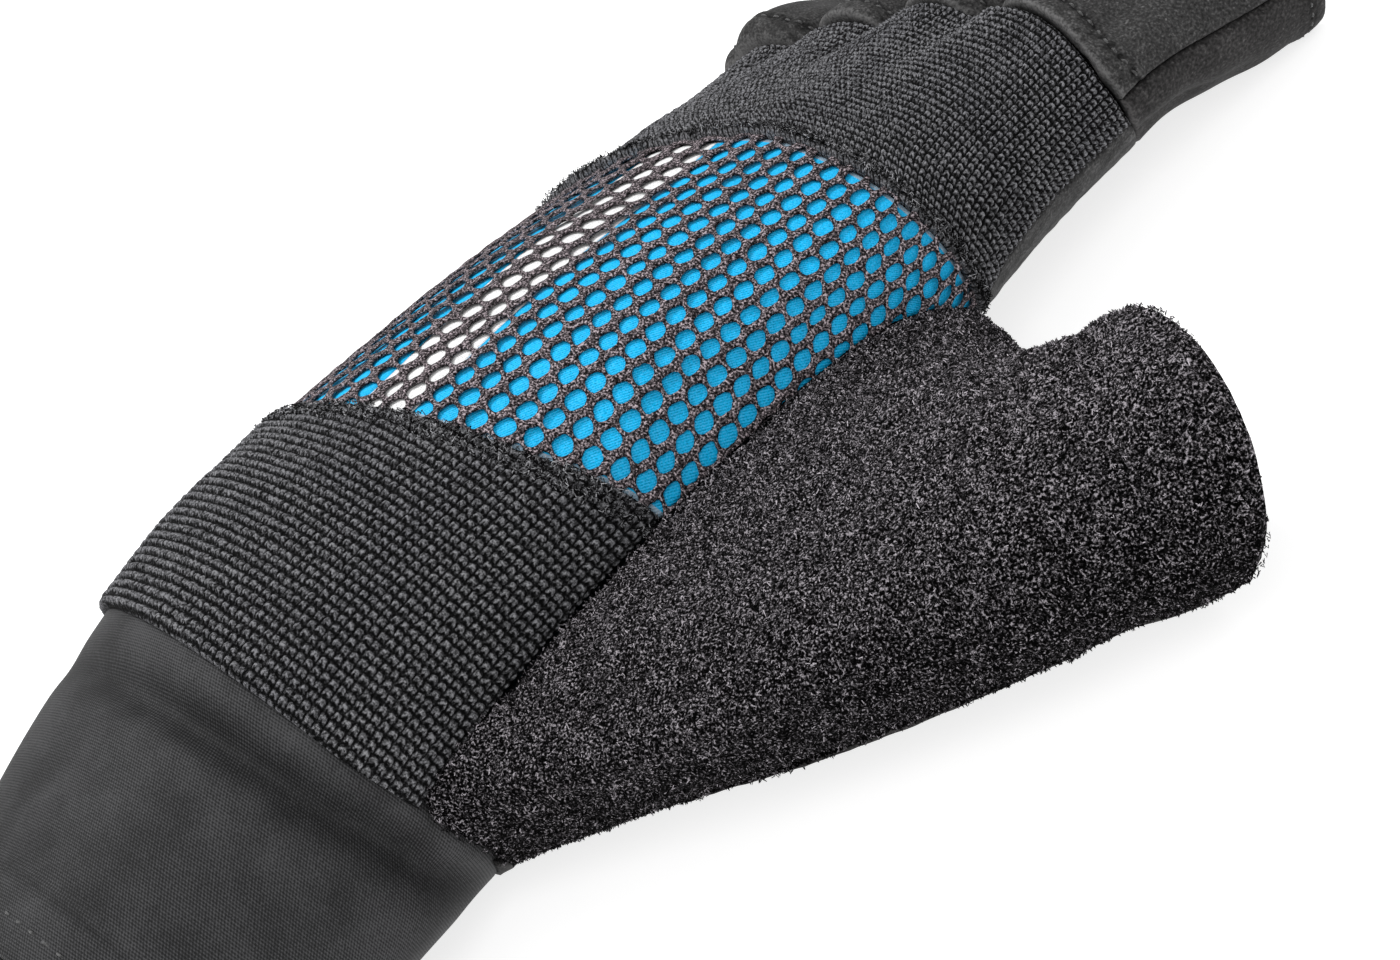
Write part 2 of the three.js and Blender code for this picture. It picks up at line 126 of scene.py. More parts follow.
WRAP_ROW = -1.2

# Edges that cross the hand, as a place along it at each turn, and seams that run along it
EdgePoint = namedtuple("EdgePoint", "turn y")
CUFF_EDGE = [
    EdgePoint(-90, -0.0060),
    EdgePoint(-28, -0.0076),
    EdgePoint(5, -0.0098),
    EdgePoint(30, -0.0120),
    EdgePoint(90, -0.0120),
    EdgePoint(180, -0.0090),
    EdgePoint(270, -0.0060),
    EdgePoint(332, -0.0076),
]
NET_LOW_EDGE = [
    EdgePoint(-40, 0.031),
    EdgePoint(15, 0.031),
    EdgePoint(55, 0.026),
    EdgePoint(100, 0.022),
    EdgePoint(180, 0.017),
]
NET_HIGH_EDGE = [
    EdgePoint(-40, 0.077),
    EdgePoint(13, 0.078),
    EdgePoint(55, 0.080),
    EdgePoint(85, 0.081),
    EdgePoint(110, 0.077),
    EdgePoint(121, 0.074),
    EdgePoint(180, 0.062),
]
WEB_EDGE = [EdgePoint(-48, 0.0740), EdgePoint(-28, 0.0771), EdgePoint(-10, 0.0779)]
BAND_SIDE = [
    EdgePoint(-30, 0.074),
    EdgePoint(-25, 0.078),
    EdgePoint(-17, 0.084),
    EdgePoint(-16, 0.098),
    EdgePoint(-16, 0.112),
]
STRIPE_EDGE = [
    EdgePoint(69, 0.010),
    EdgePoint(74, 0.023),
    EdgePoint(87, 0.062),
    EdgePoint(94, 0.085),
]

# Thumb stall
THUMB_END = np.array([0.0916, 0.0594, 0.0154])
THUMB_AXIS = np.array([0.77, 0.64, -0.1]) / np.linalg.norm([0.77, 0.64, -0.1])
THUMB_HALF_WIDTH = 0.0146
THUMB_HALF_HEIGHT = 0.0134
THUMB_CUT_SLANT = 0.010
THUMB_CUT_TURN = 33
THUMB_BULGE = 0.0076
THUMB_BULGE_TURN = -20
THUMB_FOLLOW = 0.35
THUMB_SLIDE = 0.8
THUMB_HEM_PROUD = 0.0009

# Finger stalls: the sides of each where it leaves the hand, then its open end
Finger = namedtuple("Finger", "name left right end_x end_half end_high length")
FINGERS = [
    Finger("index", 0.0148, 0.0383, 0.0298, 0.0110, 0.0102, 0.028),
    Finger("middle", -0.0057, 0.0140, 0.0056, 0.0111, 0.0104, 0.031),
    Finger("ring", -0.0249, -0.0065, -0.0176, 0.0105, 0.0100, 0.029),
    Finger("little", -0.0436, -0.0257, -0.0390, 0.0097, 0.0093, 0.025),
]
STALL_ROUNDNESS = 2.5
STALL_READ_LEFT = -0.0385
STALL_READ_RIGHT = 0.0335
STALL_END_SINK = 0.0004
VALLEY_DEPTH = 0.0024
VALLEY_WIDTH = 0.004
VALLEY_START_Y = 0.090
SETTLE_DEPTH = 0.0028
SETTLE_X = -0.014
SETTLE_WIDTH = 0.020
SETTLE_START_Y = 0.084
HEM_Y = 0.112
HEM_THUMB_X = 0.0372
HEM_LITTLE_X = -0.0428
HEM_THUMB_DROP = 0.005
HEM_THUMB_START_X = 0.022
HEM_THUMB_SPAN = 0.016
HEM_LITTLE_DROP = 0.007
HEM_LITTLE_SPAN = 0.043

# Loops of yarn: lean from upright and arc in radians, spread of their sizes, and their shades, which
# give each loop its own tone and also stand in for painted sheen
LOOP_TILT = 1.2
LOOP_ARC = np.array([-0.1, 0.35, 1.1]) * np.pi
LOOP_SPREAD = (0.6, 1.5)
LOOP_SHADE = 0.40
LOOP_SHADE_SPREAD = 0.26
LOOP_BRIGHT_SHARE = 0.02

# Threads of satin and twill, the height up to which towelling gets painted shade that darkens it
# towards the floor, and grain of napped cloth
SATIN_PITCH = 0.00038
SATIN_TURN = 148
TWILL_PITCH = 0.00034
TWILL_TURN = 94
WEFT_TURN = 38
PAINTED_SHADE_TOP = 0.030
SUEDE_GRAIN = 0.0004
SUEDE_SHEEN = 0.02
NAP_GRAIN = 0.00035
NAP_SHEEN = 0.03

# Camera, solved from the seams and outlines of the photograph
CAMERA_AZIMUTH = 70.8
CAMERA_ELEVATION = 26.9
CAMERA_ROLL = -40.1
CAMERA_DISTANCE = 0.372
CAMERA_TARGET = np.array([0.0127, 0.0455, 0.0119])
CAMERA_LENS_MM = 80
CAMERA_SENSOR_MM = 36
CAMERA_CLIP = 0.01

Lamp = namedtuple("Lamp", "name place size power")


def length_value(name, description, default):
    return bpy.props.FloatProperty(
        name=name, description=description, default=default, precision=5, unit="LENGTH")


def colour_value(name, description, default):
    return bpy.props.FloatVectorProperty(
        name=name, description=description, subtype="COLOR", size=3, min=0, max=1,
        default=default)


class GloveSizes(bpy.types.PropertyGroup):
    """Sizes of the cloth that show on the surface."""

    rib_pitch: length_value("Rib pitch", "Distance between the ribs of the elastic", 0.00120)
    knot_pitch: length_value("Knot pitch", "Distance between the knots along one rib", 0.00118)
    knot_height: length_value("Knot height", "Height of the knots of the elastic", 0.00050)
    net_pitch: length_value("Net pitch", "Distance between the net's holes along the hand", 0.0031)
    net_turn: bpy.props.FloatProperty(
        name="Net turn", description="Degrees of turn round the hand between rows of holes",
        default=6.4)
    loop_width: length_value("Loop width", "Width of one towelling loop", 0.00032)
    loop_count: bpy.props.IntProperty(
        name="Loops", description="Number of towelling loops on the thumb", default=30000)
    stitch_pitch: length_value("Stitch pitch", "Distance between stitches", 0.0019)


class GloveColours(bpy.types.PropertyGroup):
    """Colours of the cloth."""

    elastic: colour_value("Elastic", "Colour of the elastic's knots", (0.0250, 0.0250, 0.0262))
    azure: colour_value("Lining", "Colour of the lining", (0.002, 0.500, 0.930))
    stripe: colour_value("Stripe", "Colour of the lining's stripe", (0.900, 0.900, 0.900))
    yarn: colour_value("Net yarn", "Colour of the net", (0.084, 0.071, 0.076))
    towelling: colour_value("Towelling", "Colour of the thumb", (0.014, 0.013, 0.014))
    cuff: colour_value("Cuff", "Colour of the cuff", (0.026, 0.026, 0.027))
    fingers: colour_value("Fingers", "Colour of the finger stalls", (0.034, 0.0335, 0.0335))
    palm: colour_value("Palm", "Colour of the palm", (0.024, 0.023, 0.023))
    thread: colour_value("Thread", "Colour of the sewing thread", (0.055, 0.055, 0.055))


def mix(a, b, t):
    return a + (b - a) * t


def ease(t):
    t = np.clip(t, 0, 1)
    return t * t * (3 - 2 * t)


def signed_power(v, power):
    return np.sign(v) * np.abs(v) ** power


def unit(v):
    return v / np.maximum(np.linalg.norm(v, axis=-1, keepdims=True), 1e-12)


def unit_grid(rows, cols):
    """Grids of u, from 0 to 1 along the rows, and v, from 0 to 1 across the columns."""
    return np.meshgrid(np.linspace(0, 1, rows + 1), np.linspace(0, 1, cols + 1), indexing="ij")


def curve_weights(t):
    """Weights of a smooth curve's start, leaving slope, end and arriving slope."""
    t2 = t * t
    t3 = t2 * t
    return 2 * t3 - 3 * t2 + 1, t3 - 2 * t2 + t, 3 * t2 - 2 * t3, t3 - t2


def read_table(rows, by, at, column):
    """Smooth curve through the rows of a table, read at values of the column named by."""
    keys = np.array([getattr(row, by) for row in rows], float)
    values = np.array([getattr(row, column) for row in rows], float)
    slopes = np.empty_like(values)
    slopes[1:-1] = (values[2:] - values[:-2]) / (keys[2:] - keys[:-2])
    slopes[0] = (values[1] - values[0]) / (keys[1] - keys[0])
    slopes[-1] = (values[-1] - values[-2]) / (keys[-1] - keys[-2])
    at = np.asarray(at, float)
    i = np.clip(np.searchsorted(keys, at) - 1, 0, len(keys) - 2)
    step = keys[i + 1] - keys[i]
    whole = (at - keys[i]) / step
    start, leave, end, arrive = curve_weights(np.clip(whole, 0, 1))
    inside = (start * values[i] + leave * step * slopes[i]
              + end * values[i + 1] + arrive * step * slopes[i + 1])
    before = np.minimum(whole, 0) * step * slopes[i]
    after = np.maximum(whole - 1, 0) * step * slopes[i + 1]
    return inside + before + after


def valley(x, y):
    """Depth of the valleys between the fingers and of the slack over the middle ones, near
    the hem of the hand."""
    depth = 0
    for finger, last in zip(FINGERS[1:], FINGERS[:-1]):
        middle = (finger.right + last.left) / 2
        depth = depth + np.exp(-(((x - middle) / VALLEY_WIDTH) ** 2))
    slack = SETTLE_DEPTH * np.exp(-(((x - SETTLE_X) / SETTLE_WIDTH) ** 2))
    slack = slack * ease((y - SETTLE_START_Y) / (HEM_Y - SETTLE_START_Y))
    return slack + VALLEY_DEPTH * depth * ease((y - VALLEY_START_Y) / (HEM_Y - VALLEY_START_Y))


def hand_point(y, turn):
    """Points of the outer surface of the hand sleeve."""
    y, turn = np.broadcast_arrays(np.asarray(y, float), np.asarray(turn, float))
    read = {column: read_table(SECTIONS, "y", y, column) for column in Section._fields[1:]}
    c = np.cos(np.radians(turn))
    s = np.sin(np.radians(turn))
    power = 2 / ROUNDNESS
    side_x = np.where(c >= 0, read["thumb_x"], read["little_x"])
    side_z = mix(read["little_z"], read["thumb_z"], (1 + signed_power(c, power)) / 2)
    x = read["crest_x"] + (side_x - read["crest_x"]) * np.abs(c) ** power
    far = np.where(s >= 0, read["top"], read["bottom"])
    z = side_z + (far - side_z) * np.abs(s) ** power
    z = z - np.where(s > 0, valley(x, y) * s, 0)
    return np.stack([x, y, np.maximum(z, 0)], -1)


def turn_step(y, turn):
    """The way that one degree of turn takes a point round the sleeve."""
    return hand_point(y, turn + STEP_TURN) - hand_point(y, turn - STEP_TURN)


def per_degree(y, turn):
    """Distance round the sleeve for one degree of turn."""
    return np.linalg.norm(turn_step(y, turn), axis=-1)


def hand_normal(y, turn):
    """Unit normals of the hand sleeve, pointing out of it."""
    along = hand_point(y + STEP_Y, turn) - hand_point(y - STEP_Y, turn)
    return unit(np.cross(along, turn_step(y, turn)))


def hand_height(x, y, side):
    """Height of the sleeve's back, side 1, or palm, side -1, above a place on the floor."""
    read = {column: read_table(SECTIONS, "y", y, column) for column in Section._fields[1:]}
    thumbward = x >= read["crest_x"]
    side_x = np.where(thumbward, read["thumb_x"], read["little_x"])
    reach = np.clip((x - read["crest_x"]) / (side_x - read["crest_x"]), 0, 1)
    rise = (1 - reach ** ROUNDNESS) ** (1 / ROUNDNESS)
    lean = np.where(thumbward, (1 + reach) / 2, (1 - reach) / 2)
    side_z = mix(read["little_z"], read["thumb_z"], lean)
    far = np.where(side > 0, read["top"] - valley(x, y), read["bottom"])
    return np.maximum(side_z + (far - side_z) * rise, 0)


def hem_y(x):
    """Where the fingers start, as a place along the hand."""
    within = np.clip(x, HEM_LITTLE_X, HEM_THUMB_X)
    thumb_part = np.maximum(0, within - HEM_THUMB_START_X) / HEM_THUMB_SPAN
    little_part = np.maximum(0, -within) / HEM_LITTLE_SPAN
    return HEM_Y - HEM_THUMB_DROP * thumb_part ** 2 - HEM_LITTLE_DROP * little_part ** 2


def cuff_edge(turn):
    return read_table(CUFF_EDGE, "turn", turn, "y")


def net_low(turn):
    return read_table(NET_LOW_EDGE, "turn", turn, "y")


def net_high(turn):
    return read_table(NET_HIGH_EDGE, "turn", turn, "y")


def web_edge(turn):
    return read_table(WEB_EDGE, "turn", turn, "y")


def hem(turn):
    return hem_y(hand_point(HEM_Y, turn)[..., 0])


def little_seam(y):
    return np.full_like(y, LITTLE_SEAM_TURN)


def index_palm_seam(y):
    return np.full_like(y, INDEX_PALM_TURN)


def band_side(y):
    return read_table(BAND_SIDE, "y", y, "turn")


def stripe_start(y):
    return read_table(STRIPE_EDGE, "y", y, "turn")


def stripe_end(y):
    return stripe_start(y) + STRIPE_WIDTH_TURN


def thumb_back_turn(y):
    return read_table(THUMB_SEAM[2:WEB_ROW], "y", y, "turn")


def palm_end_turn(y):
    seam = sorted([THUMB_SEAM[0], *THUMB_SEAM[WEB_ROW:]], key=lambda point: point.y)
    turned = read_table(seam, "y", y, "turn")
    return 360 + np.where(y < THUMB_SEAM[WEB_ROW].y, turned, INDEX_PALM_TURN)


def hand_grid(low, high, start, end, rows, cols, margin=SEAM_GAP / 2):
    """Grid of points on the sleeve between two edges that cross it and two seams along it."""
    u, v = unit_grid(rows, cols)
    y = mix(low(90.0), high(90.0), u)
    turn = np.full_like(u, 90)
    for _ in range(5):
        first = start(y)
        last = end(y)
        first = first + margin / per_degree(y, first)
        last = last - margin / per_degree(y, last)
        turn = mix(first, last, v)
        y = mix(low(turn) + margin, high(turn) - margin, u)
    return hand_point(y, turn), y, turn


def thumb_seam_at(k):
    """The thumb seam read at fractional rows, closed on itself."""
    count = len(THUMB_SEAM)
    k = np.asarray(k, float)
    base = np.floor(k)
    t = k - base

    def row(offset):
        i = base + offset
        part = {}
        for column in SeamPoint._fields:
            values = np.array([getattr(point, column) for point in THUMB_SEAM], float)
            part[column] = values[np.mod(i, count).astype(int)]
        part["aim"] = part["aim"] + 360 * np.floor(i / count)
        return part

    rows = [row(offset) for offset in (-1, 0, 1, 2)]
    start, leave, end, arrive = curve_weights(t)
    read = {}
    for column in SeamPoint._fields:
        a, b, c, d = (part[column] for part in rows)
        read[column] = start * b + leave * (c - a) / 2 + end * c + arrive * (d - b) / 2
    return read["y"], read["turn"], read["aim"]


THUMB_SIDE = unit(np.cross(THUMB_AXIS, [0, 0, 1]))
THUMB_UP = np.cross(THUMB_SIDE, THUMB_AXIS)


def thumb_point(t, k):
    """Points of the outer surface of the thumb stall: t runs from the seam to the open end."""
    y, turn, aim = thumb_seam_at(k)
    start = hand_point(y, turn)
    normal = hand_normal(y, turn)
    aim = np.radians(aim)[..., None]
    end = (THUMB_END + THUMB_SIDE * THUMB_HALF_WIDTH * np.cos(aim)
           + THUMB_UP * THUMB_HALF_HEIGHT * np.sin(aim)
           + THUMB_AXIS * THUMB_CUT_SLANT * np.cos(aim - math.radians(THUMB_CUT_TURN)))
    leave = end - start
    reach = np.linalg.norm(leave, axis=-1, keepdims=True)
    ahead_y, ahead_turn, _ = thumb_seam_at(k + SEAM_STEP)
    seam = unit(hand_point(ahead_y, ahead_turn) - start)
    leave = leave / reach
    leave = leave - THUMB_SLIDE * (leave * seam).sum(-1, keepdims=True) * seam
    leave = unit(leave - THUMB_FOLLOW * (leave * normal).sum(-1, keepdims=True) * normal)
    t = t[..., None]
    from_start, leaving, to_end, arriving = curve_weights(t)
    outward = (1 + np.cos(aim - math.radians(THUMB_BULGE_TURN))) / 2
    bulge = THUMB_BULGE * np.sin(np.pi * np.clip(t, 0, 1)) * outward ** 2
    point = (start * from_start + leave * reach * leaving
             + end * to_end + THUMB_AXIS * reach * arriving + THUMB_SIDE * bulge)
    point[..., 2] = np.maximum(point[..., 2], 0)
    return point


def thumb_grid(from_row, to_row, rows, cols):
    """Grid of points on the thumb stall between two rows of its seam table."""
    u, v = unit_grid(rows, cols)
    return thumb_point(u, mix(from_row, to_row, v)), u, v


def relax(points, freedom, rounds):
    """Evens out a grid of points across its columns where freedom is 1, to open up folds."""
    points = points.copy()
    for _ in range(rounds):
        middle = (points[:, 2:] + points[:, :-2]) / 2
        points[:, 1:-1] += 0.5 * freedom[:, 1:-1, None] * (middle - points[:, 1:-1])
    return points


def stall_point(finger, t, aim):
    """Points of a finger stall: t runs from the hem to the open end, aim round it."""
    c = np.cos(np.radians(aim))
    s = np.sin(np.radians(aim))
    half = (finger.right - finger.left) / 2
    power = 2 / mix(STALL_ROUNDNESS, 2, np.clip(t, 0, 1))
    base_x = (finger.right + finger.left) / 2 + half * signed_power(c, power)
    base_y = hem_y(base_x) + SEAM_GAP
    read_x = np.clip(base_x, STALL_READ_LEFT, STALL_READ_RIGHT)
    back = hand_height(read_x, base_y, np.ones_like(read_x))
    front = hand_height(read_x, base_y, -np.ones_like(read_x))
    edge = np.where(s >= 0, back, front)
    middle = (back + front) / 2
    base_z = middle + (edge - middle) * np.abs(s) ** power
    end_x = finger.end_x + finger.end_half * signed_power(c, power)
    end_y = hem_y(finger.end_x) + finger.length
    end_z = finger.end_high - STALL_END_SINK + finger.end_high * signed_power(s, power)
    blend = ease(t)
    z = np.maximum(mix(base_z, end_z, blend), 0)
    return np.stack([mix(base_x, end_x, blend), mix(base_y, end_y, t), z], -1)


def grid_normals(points, ring=False):
    """Unit normals of a grid of points, pointing out of the glove."""
    along = np.gradient(points, axis=0)
    if ring:
        wrapped = np.concatenate([points[:, -2:-1], points, points[:, 1:2]], axis=1)
        across = np.gradient(wrapped, axis=1)[:, 1:-1]
    else:
        across = np.gradient(points, axis=1)
    return unit(np.cross(along, across))


def travelled(points, axis):
    """Distance along the grid's lines from their first point."""
    steps = np.linalg.norm(np.diff(points, axis=axis), axis=-1)
    start = np.zeros_like(np.take(steps, [0], axis=axis))
    return np.concatenate([start, np.cumsum(steps, axis=axis)], axis=axis)


def ripple(points, size, seed, waves=28):
    """Smooth noise between about -1 and 1 whose lumps are as big as size."""
    chance = np.random.default_rng(seed)
    total = np.zeros(points.shape[:-1])
    for _ in range(waves):
        direction = unit(chance.normal(size=3))
        frequency = 2 * np.pi / size * chance.uniform(0.5, 1.0)
        total = total + np.sin(points @ (direction * frequency) + chance.uniform(0, 2 * np.pi))
    return total * math.sqrt(2 / waves) / 1.6


def finish_mesh(name, points, faces, uv=None, relief=None, weld=0.0):
    """Mesh object of a piece, smooth, with its cloth coordinates and relief stored on it."""
    mesh = bpy.data.meshes.new(name)
    mesh.from_pydata(points.tolist(), [], faces)
    corner = np.zeros(len(mesh.loops), np.int32)
    mesh.loops.foreach_get("vertex_index", corner)
    if uv is not None:
        layer = mesh.uv_layers.new(name="cloth")
        layer.data.foreach_set("uv", uv[corner].astype(np.float32).ravel())
    if relief is not None:
        attribute = mesh.attributes.new("relief", "FLOAT", "POINT")
        attribute.data.foreach_set("value", relief.astype(np.float32))
    if weld:
        shape = bmesh.new()
        shape.from_mesh(mesh)
        bmesh.ops.remove_doubles(shape, verts=shape.verts, dist=weld)
        shape.to_mesh(mesh)
        shape.free()
    mesh.polygons.foreach_set("use_smooth", np.ones(len(mesh.polygons), bool))
    mesh.update()
    piece = bpy.data.objects.new(name, mesh)
    bpy.context.scene.collection.objects.link(piece)
    return piece


def cloth(name, points, thick, height=0.0, relief=None, inner_step=1, ring=False, edge=0.0005,
          inner_height=None, cut=None):
    """A cloth panel: its outer surface from a grid of points, raised by height, and its inner
    surface below it, in coarser steps, with rounded edges between them."""
    normal = grid_normals(points, ring)
    along = travelled(points, 0)
    across = travelled(points, 1)
    to_edge = np.minimum(along, along[-1:] - along)
    if not ring:
        to_edge = np.minimum(to_edge, np.minimum(across, across[:, -1:] - across))
    near = np.clip(1 - to_edge / edge, 0, 1)
    lift = height - edge * (1 - np.sqrt(1 - near ** 2))
    outer = points + normal * lift[..., None]
    under = thick if inner_height is None else thick - inner_height
    inner = points - normal * np.broadcast_to(under, lift.shape)[..., None]
    inner = inner[::inner_step, ::inner_step]
    rows, cols = points.shape[0] - 1, points.shape[1] - 1
    outer_at = np.arange((rows + 1) * (cols + 1)).reshape(rows + 1, cols + 1)
    inner_rows, inner_cols = inner.shape[0] - 1, inner.shape[1] - 1
    inner_at = outer_at.size + np.arange(inner[..., 0].size).reshape(inner.shape[:2])
    quads = np.stack([outer_at[:-1, :-1], outer_at[1:, :-1], outer_at[1:, 1:], outer_at[:-1, 1:]], -1)
    back = np.stack([inner_at[:-1, :-1], inner_at[:-1, 1:], inner_at[1:, 1:], inner_at[1:, :-1]], -1)
    faces = quads.reshape(-1, 4).tolist() + back.reshape(-1, 4).tolist()
    n = inner_step
    for j in range(inner_cols):
        span = outer_at[:, j * n:(j + 1) * n + 1]
        faces.append([*span[0].tolist(), inner_at[0, j + 1], inner_at[0, j]])
        faces.append([*span[-1, ::-1].tolist(), inner_at[-1, j], inner_at[-1, j + 1]])
    for i in range(0 if ring else inner_rows):
        span = outer_at[i * n:(i + 1) * n + 1]
        faces.append([*span[::-1, 0].tolist(), inner_at[i, 0], inner_at[i + 1, 0]])
        faces.append([*span[:, -1].tolist(), inner_at[i + 1, -1], inner_at[i, -1]])
    if cut is None:
        cut = np.stack([across, along], -1)
    uv = np.concatenate([cut.reshape(-1, 2), cut[::n, ::n].reshape(-1, 2)])
    if relief is None:
        relief = np.full(along.shape, PLAIN_RELIEF)
    level = np.concatenate([relief.ravel(), np.full(inner[..., 0].size, INNER_RELIEF)])
    everything = np.concatenate([outer.reshape(-1, 3), inner.reshape(-1, 3)])
    everything[:, 2] = np.maximum(everything[:, 2], 0)
    weld = 1e-7 if ring else 0
    piece = finish_mesh(name, everything, faces, uv, level, weld)
    piece["cut"] = [float(across[:, -1].mean()), float(along[-1].mean())]
    return piece


def tubes(name, paths, radii, sides, side_way, shade=None, closed_ends=True):
    """Many short tubes in one mesh: paths is tubes x points x 3, side_way is square to each."""
    count, steps = paths.shape[:2]
    along = unit(np.gradient(paths, axis=1))
    way = unit(side_way - (side_way * along).sum(-1, keepdims=True) * along)
    other = np.cross(along, way)
    angle = 2 * np.pi * np.arange(sides) / sides
    ring = np.cos(angle)[:, None] * way[:, :, None] + np.sin(angle)[:, None] * other[:, :, None]
    points = paths[:, :, None] + ring * np.broadcast_to(radii, (count, steps))[..., None, None]
    points[..., 2] = np.maximum(points[..., 2], 0)
    at = np.arange(count * steps * sides).reshape(count, steps, sides)
    turned = np.roll(at, -1, axis=2)
    quads = np.stack([at[:, :-1], turned[:, :-1], turned[:, 1:], at[:, 1:]], -1).reshape(-1, 4)
    faces = quads.tolist()
    if closed_ends:
        faces += at[:, 0, ::-1].tolist() + at[:, -1].tolist()
    length = travelled(paths, 1)
    uv = np.stack([np.broadcast_to((angle * TUBE_UV_RADIUS)[None, None], at.shape),
                   np.broadcast_to(length[..., None], at.shape)], -1).reshape(-1, 2)
    level = None
    if shade is not None:
        level = np.broadcast_to(shade[:, None, None], at.shape).ravel()
    return finish_mesh(name, points.reshape(-1, 3), faces, uv, level)


def stitches(name, line, normals, pitch, share=0.5, radius=0.00016, sink=0.00012, proud=0.00008):
    """A row of sewn stitches along a line of points: short threads whose ends dive in."""
    run = np.concatenate([[0], np.cumsum(np.linalg.norm(np.diff(line, axis=0), axis=1))])
    count = max(2, int(run[-1] / pitch))
    starts = (np.arange(count) + 0.5 * (1 - share)) * run[-1] / count
    part = np.array([0.0, 0.12, 0.35, 0.65, 0.88, 1.0])
    dive = np.array([-4.0, -0.6, 1.0, 1.0, -0.6, -4.0])
    at = starts[:, None] + part * share * run[-1] / count
    path = np.stack([np.interp(at, run, line[:, i]) for i in range(3)], -1)
    up = unit(np.stack([np.interp(at, run, normals[:, i]) for i in range(3)], -1))
    height = np.where(dive > 0, proud * dive, sink * dive)
    path = path + up * height[None, :, None]
    taper = radius * np.array([0.6, 0.95, 1.0, 1.0, 0.95, 0.6])
    return tubes(name, path, taper[None], 6, up)


def loop_pile(name, surface, normal, count, width, tall, radius, seed):
    """Small loops of yarn scattered over a grid of points, a few of them bright and long; their
    shades are partly their own tone and partly painted sheen.
    """
    chance = np.random.default_rng(seed)
    a = surface[:-1, :-1]
    size = np.linalg.norm(np.cross(surface[1:, :-1] - a, surface[:-1, 1:] - a), axis=-1).ravel()
    cell = chance.choice(size.size, count, p=size / size.sum())
    i, j = np.unravel_index(cell, a.shape[:2])
    s, t = chance.random((2, count, 1))
    middle = mix(mix(surface[i, j], surface[i + 1, j], s),
                 mix(surface[i, j + 1], surface[i + 1, j + 1], s), t)
    up = normal[i, j]
    way = unit(np.cross(up, chance.normal(size=(count, 3))))
    side = np.cross(up, way)
    tilt = chance.uniform(-LOOP_TILT, LOOP_TILT, (count, 1))
    rise = up * np.cos(tilt) + side * np.sin(tilt)
    shine = chance.random((count, 1)) < LOOP_BRIGHT_SHARE
    span = width * chance.uniform(*LOOP_SPREAD, (count, 1)) * np.where(shine, 1.5, 1)
    high = tall * chance.uniform(*LOOP_SPREAD, (count, 1)) * np.where(shine, 1.3, 1)
    arc = (middle[:, None] + way[:, None] * (span[:, None] / 2 * np.cos(LOOP_ARC)[None, :, None])
           + rise[:, None] * (high[:, None] * np.sin(LOOP_ARC)[None, :, None]))
    # each loop's shade is partly its own tone and partly painted sheen
    shade = np.clip(chance.normal(LOOP_SHADE, LOOP_SHADE_SPREAD, count), 0, 0.95)
    shade = np.where(shine[:, 0], 1.0, shade)
    return tubes(name, arc, radius, 3, np.broadcast_to(np.cross(rise, way)[:, None], arc.shape),
                 shade, False)


